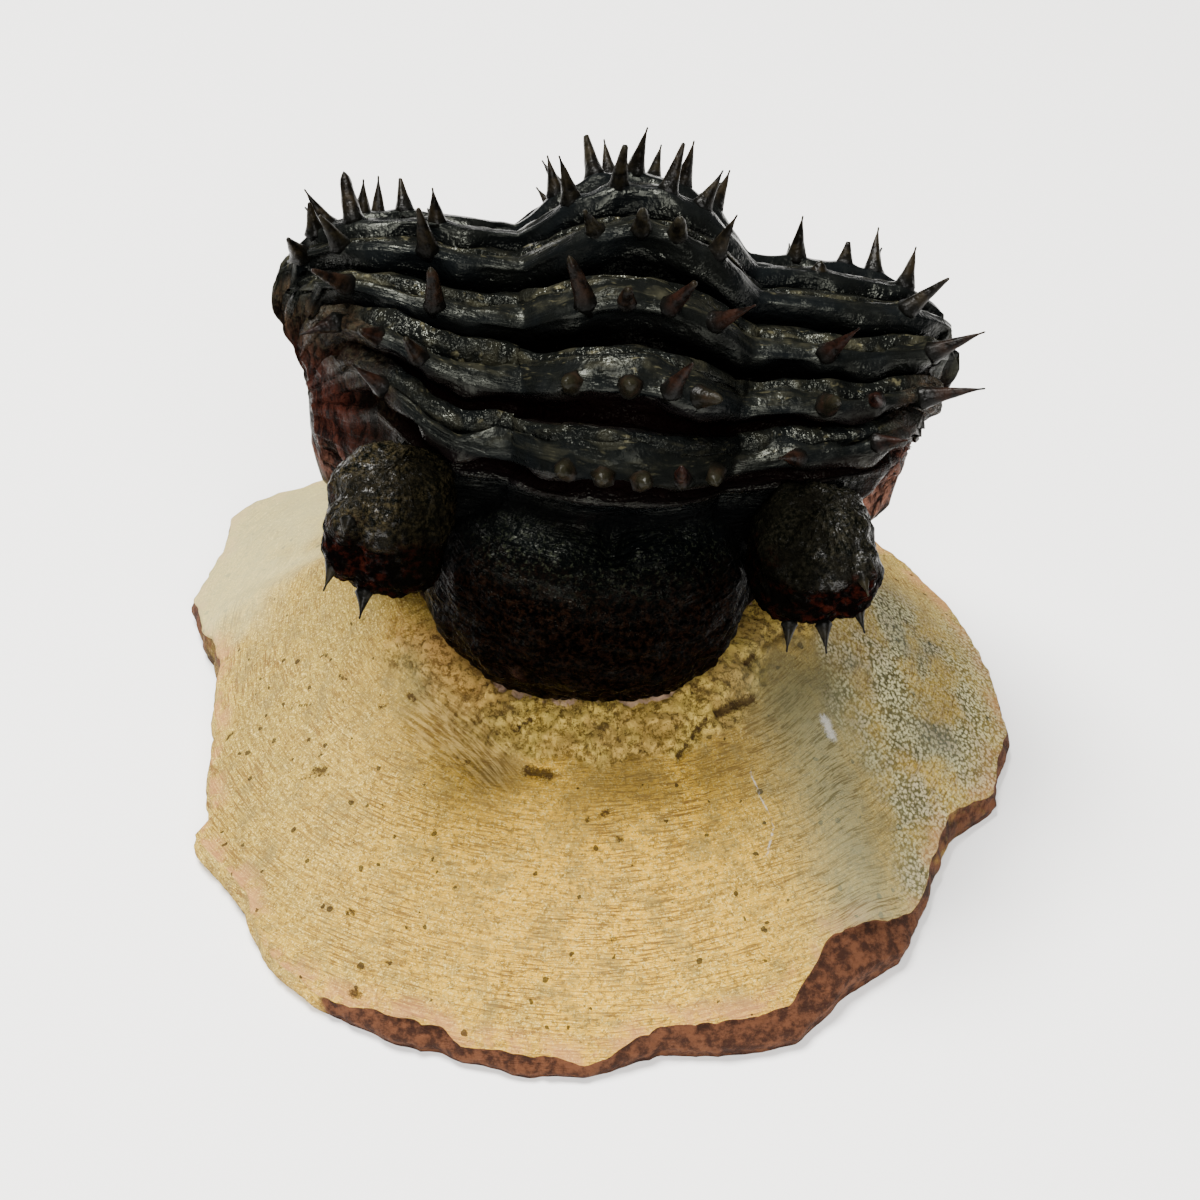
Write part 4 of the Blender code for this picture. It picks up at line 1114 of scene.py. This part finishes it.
def stone_material():
    n = Nodes("limestone")
    near, front, collar, rough_side, broken = n.masks("near front collar rough_side broken")
    flat = n.vector("MULTIPLY", n.vector("SUBTRACT", n.place, (*FOOT_CENTRE, 0)), (1, 1, 0))
    round_way = n.scaled(n.vector("NORMALIZE", flat), 13)
    rising = n.vector("ADD", round_way, n.scaled((0, 0, 1), n.vector("LENGTH", flat) * 6.5))
    scratch = n.noise(1, 5, 0.75, 0.2, at=rising)
    fine_scratch = n.noise(2.2, 3, 0.7, 0.2, at=rising)
    blotch = n.noise(0.35, 4, 0.65)
    speckle = n.noise(1.9, 5, 0.8)

    # Tan ground, golden in front, with blotches, grain and the scratches of tools
    n.colour = n.noise(0.05, 4).span(0.4, 0.6).mix((168, 144, 66), (196, 164, 66))
    n.paint((246, 190, 44), n.mask("golden") * 0.85)
    n.paint((150, 132, 76), blotch.span(0.48, 0.66) * 0.5)
    n.paint((120, 92, 38), speckle.span(0.48, 0.6) * 0.8)
    n.paint((248, 220, 128), n.noise(4.6, 3, 0.8).span(0.54, 0.6) * 0.85)
    marked = scratch.span(0.49, 0.58) * n.noise(0.12).span(0.35, 0.65, 0.45, 0.95)
    n.paint((122, 90, 42), marked)
    n.paint((96, 68, 32), fine_scratch.span(0.56, 0.64) * 0.4)
    # A ring of painted shade round the fossil's front, dusky clouds, a pinkish rim, flecks and pits
    # Painted shade: the stone is darker from 6 to 16 millimetres in front of the fossil
    n.paint((120, 98, 50), near.span(16, 6) * front * n.noise(0.16, 4, 0.6).span(0.38, 0.58, 0.2, 0.75))
    n.paint((126, 112, 70), n.noise(0.28, 5, 0.7).span(0.5, 0.66, 0, 0.45))
    n.paint((206, 142, 92), n.mask("rim") * blotch.span(0.4, 0.6) * 0.6)
    n.paint((70, 52, 24), n.cells(1.6).below(n.noise(2).span(0.45, 0.75, 0, 0.22)) * 0.6)
    pits = n.cells(0.5).below(n.noise(0.8).span(0.4, 0.7, 0.04, 0.2))
    n.paint((48, 34, 14), pits * 0.85)
    # The stained yellow collar, and the striped brown patch
    stain = n.noise(1.1, 6, 0.9).span(0.485, 0.545) * 0.9
    yellow = n.noise(0.3).span(0.4, 0.6).mix((206, 178, 88), (176, 146, 76))
    yellow = stain.mix(yellow, (66, 47, 17))
    orange = stain.mix((214, 162, 92), (108, 66, 24))
    n.paint((n.mask("orange") * 0.6).mix(yellow, orange), collar * 0.85)
    stripes = n.noise(1, 3, 0.6, at=n.mask("stripes", "Vector")).span(0.42, 0.6)
    n.paint(stripes.mix((98, 74, 34), (186, 158, 92)), n.mask("brown") * 0.75)
    # The granular side and its blue clouds, painted shade in the hollow, and the cool patch behind
    network = n.cells(2.9) * 0.45 + n.noise(3.2, 6, 0.9)
    light = n.noise(0.25).span(0.42, 0.58).mix((226, 222, 172), (206, 196, 158))
    granular = network.span(0.64, 0.8).mix(light, (66, 70, 50))
    n.paint((n.mask("blue") * 0.55).mix(granular, (92, 102, 96)), rough_side * 0.85)
    n.paint(marked.mix((146, 146, 114), (84, 84, 60)), n.mask("grey") * 0.75)
    # Painted shade: the hollow beside the ridge under the right eye, and a patch on the left, are painted
    # dark
    n.paint(marked.mix((96, 92, 62), (46, 43, 26)), n.mask("hollow") * 0.8)
    n.paint((214, 206, 152), n.mask("cool") * 0.6)
    # A pink seam against the fossil, the rusty broken edge, scars and chalk
    n.paint((206, 170, 150), (near + n.noise(0.9) * 1.2).span(1, 0.8) * front * 0.7)
    rust = n.noise(0.8, 4, 0.7).span(0.38, 0.62).mix((48, 26, 15), (98, 60, 38))
    n.paint(rust, (broken + blotch * 0.3).span(0.45, 0.6))
    wobble = n.noise(3, 5, 0.85) * 3.6
    n.paint((54, 36, 14), (n.mask("scar") + wobble).span(2.9, 2.2, 0, 0.9))
    n.paint((214, 212, 206), (n.mask("chalk") + wobble).span(3.2, 2, 0, 0.75))

    height = scratch * 0.9 + speckle * 0.6 + fine_scratch * 0.3 - pits * 0.6
    return n.shade(Roughness=0.85, Normal=n.bumped(height, 0.5), Specular_IOR_Level=0.15)


# -------------------- stage, light and camera


def build_stage():
    mesh = bpy.data.meshes.new("floor")
    corners = [(x * FLOOR_HALF, y * FLOOR_HALF, 0) for x, y in ((-1, -1), (1, -1), (1, 1), (-1, 1))]
    mesh.from_pydata(corners, [], [(0, 1, 2, 3)])
    floor = in_scene("floor", mesh)
    n = Nodes("pale_floor")
    n.colour = FLOOR_TONE
    mesh.materials.append(n.shade(Roughness=0.8, Specular_IOR_Level=0.1))


def build_light():
    for name, (place, size, power, colour) in LIGHTS.items():
        lamp = bpy.data.lights.new(name, "AREA")
        lamp.shape = "DISK"
        lamp.size = size
        lamp.energy = power
        lamp.color = colour
        made = in_scene(name, lamp)
        made.location = place
        made.rotation_euler = (Vector(LOOK_AT) - Vector(place)).to_track_quat("-Z", "Y").to_euler()
    world = bpy.data.worlds.new("studio")
    world.use_nodes = True
    background = world.node_tree.nodes["Background"]
    background.inputs["Color"].default_value = WORLD_TONE
    background.inputs["Strength"].default_value = WORLD_STRENGTH
    bpy.context.scene.world = world


def build_camera():
    data = bpy.data.cameras.new("camera")
    data.sensor_width = CAMERA_SENSOR
    data.lens = CAMERA_LENS
    camera = in_scene("camera", data)
    tilt = math.radians(CAMERA_ELEVATION)
    away = Vector((0, -math.cos(tilt), math.sin(tilt)))
    camera.location = Vector(LOOK_AT) + away * CAMERA_DISTANCE
    camera.rotation_euler = (-away).to_track_quat("-Z", "Y").to_euler()
    bpy.context.scene.camera = camera


def main():
    build_stage()
    build_light()
    build_camera()
    body = build_body()
    eyes = [build_eye("fossil_eye_left", 0), build_eye("fossil_eye_right", 1)]
    spines = build_spines()
    tree = BVHTree.FromObject(body, bpy.context.evaluated_depsgraph_get())
    stone = build_stone(tree)
    for piece, material in (
        (body, shell_material()), (spines, spine_material()), (stone, stone_material()),
        *((eye, eye_material()) for eye in eyes),
    ):
        piece.data.materials.append(material)
        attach(piece, "root")
    for piece in (body, spines, *eyes):
        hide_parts("trilobite")
    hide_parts("matrix")


main()
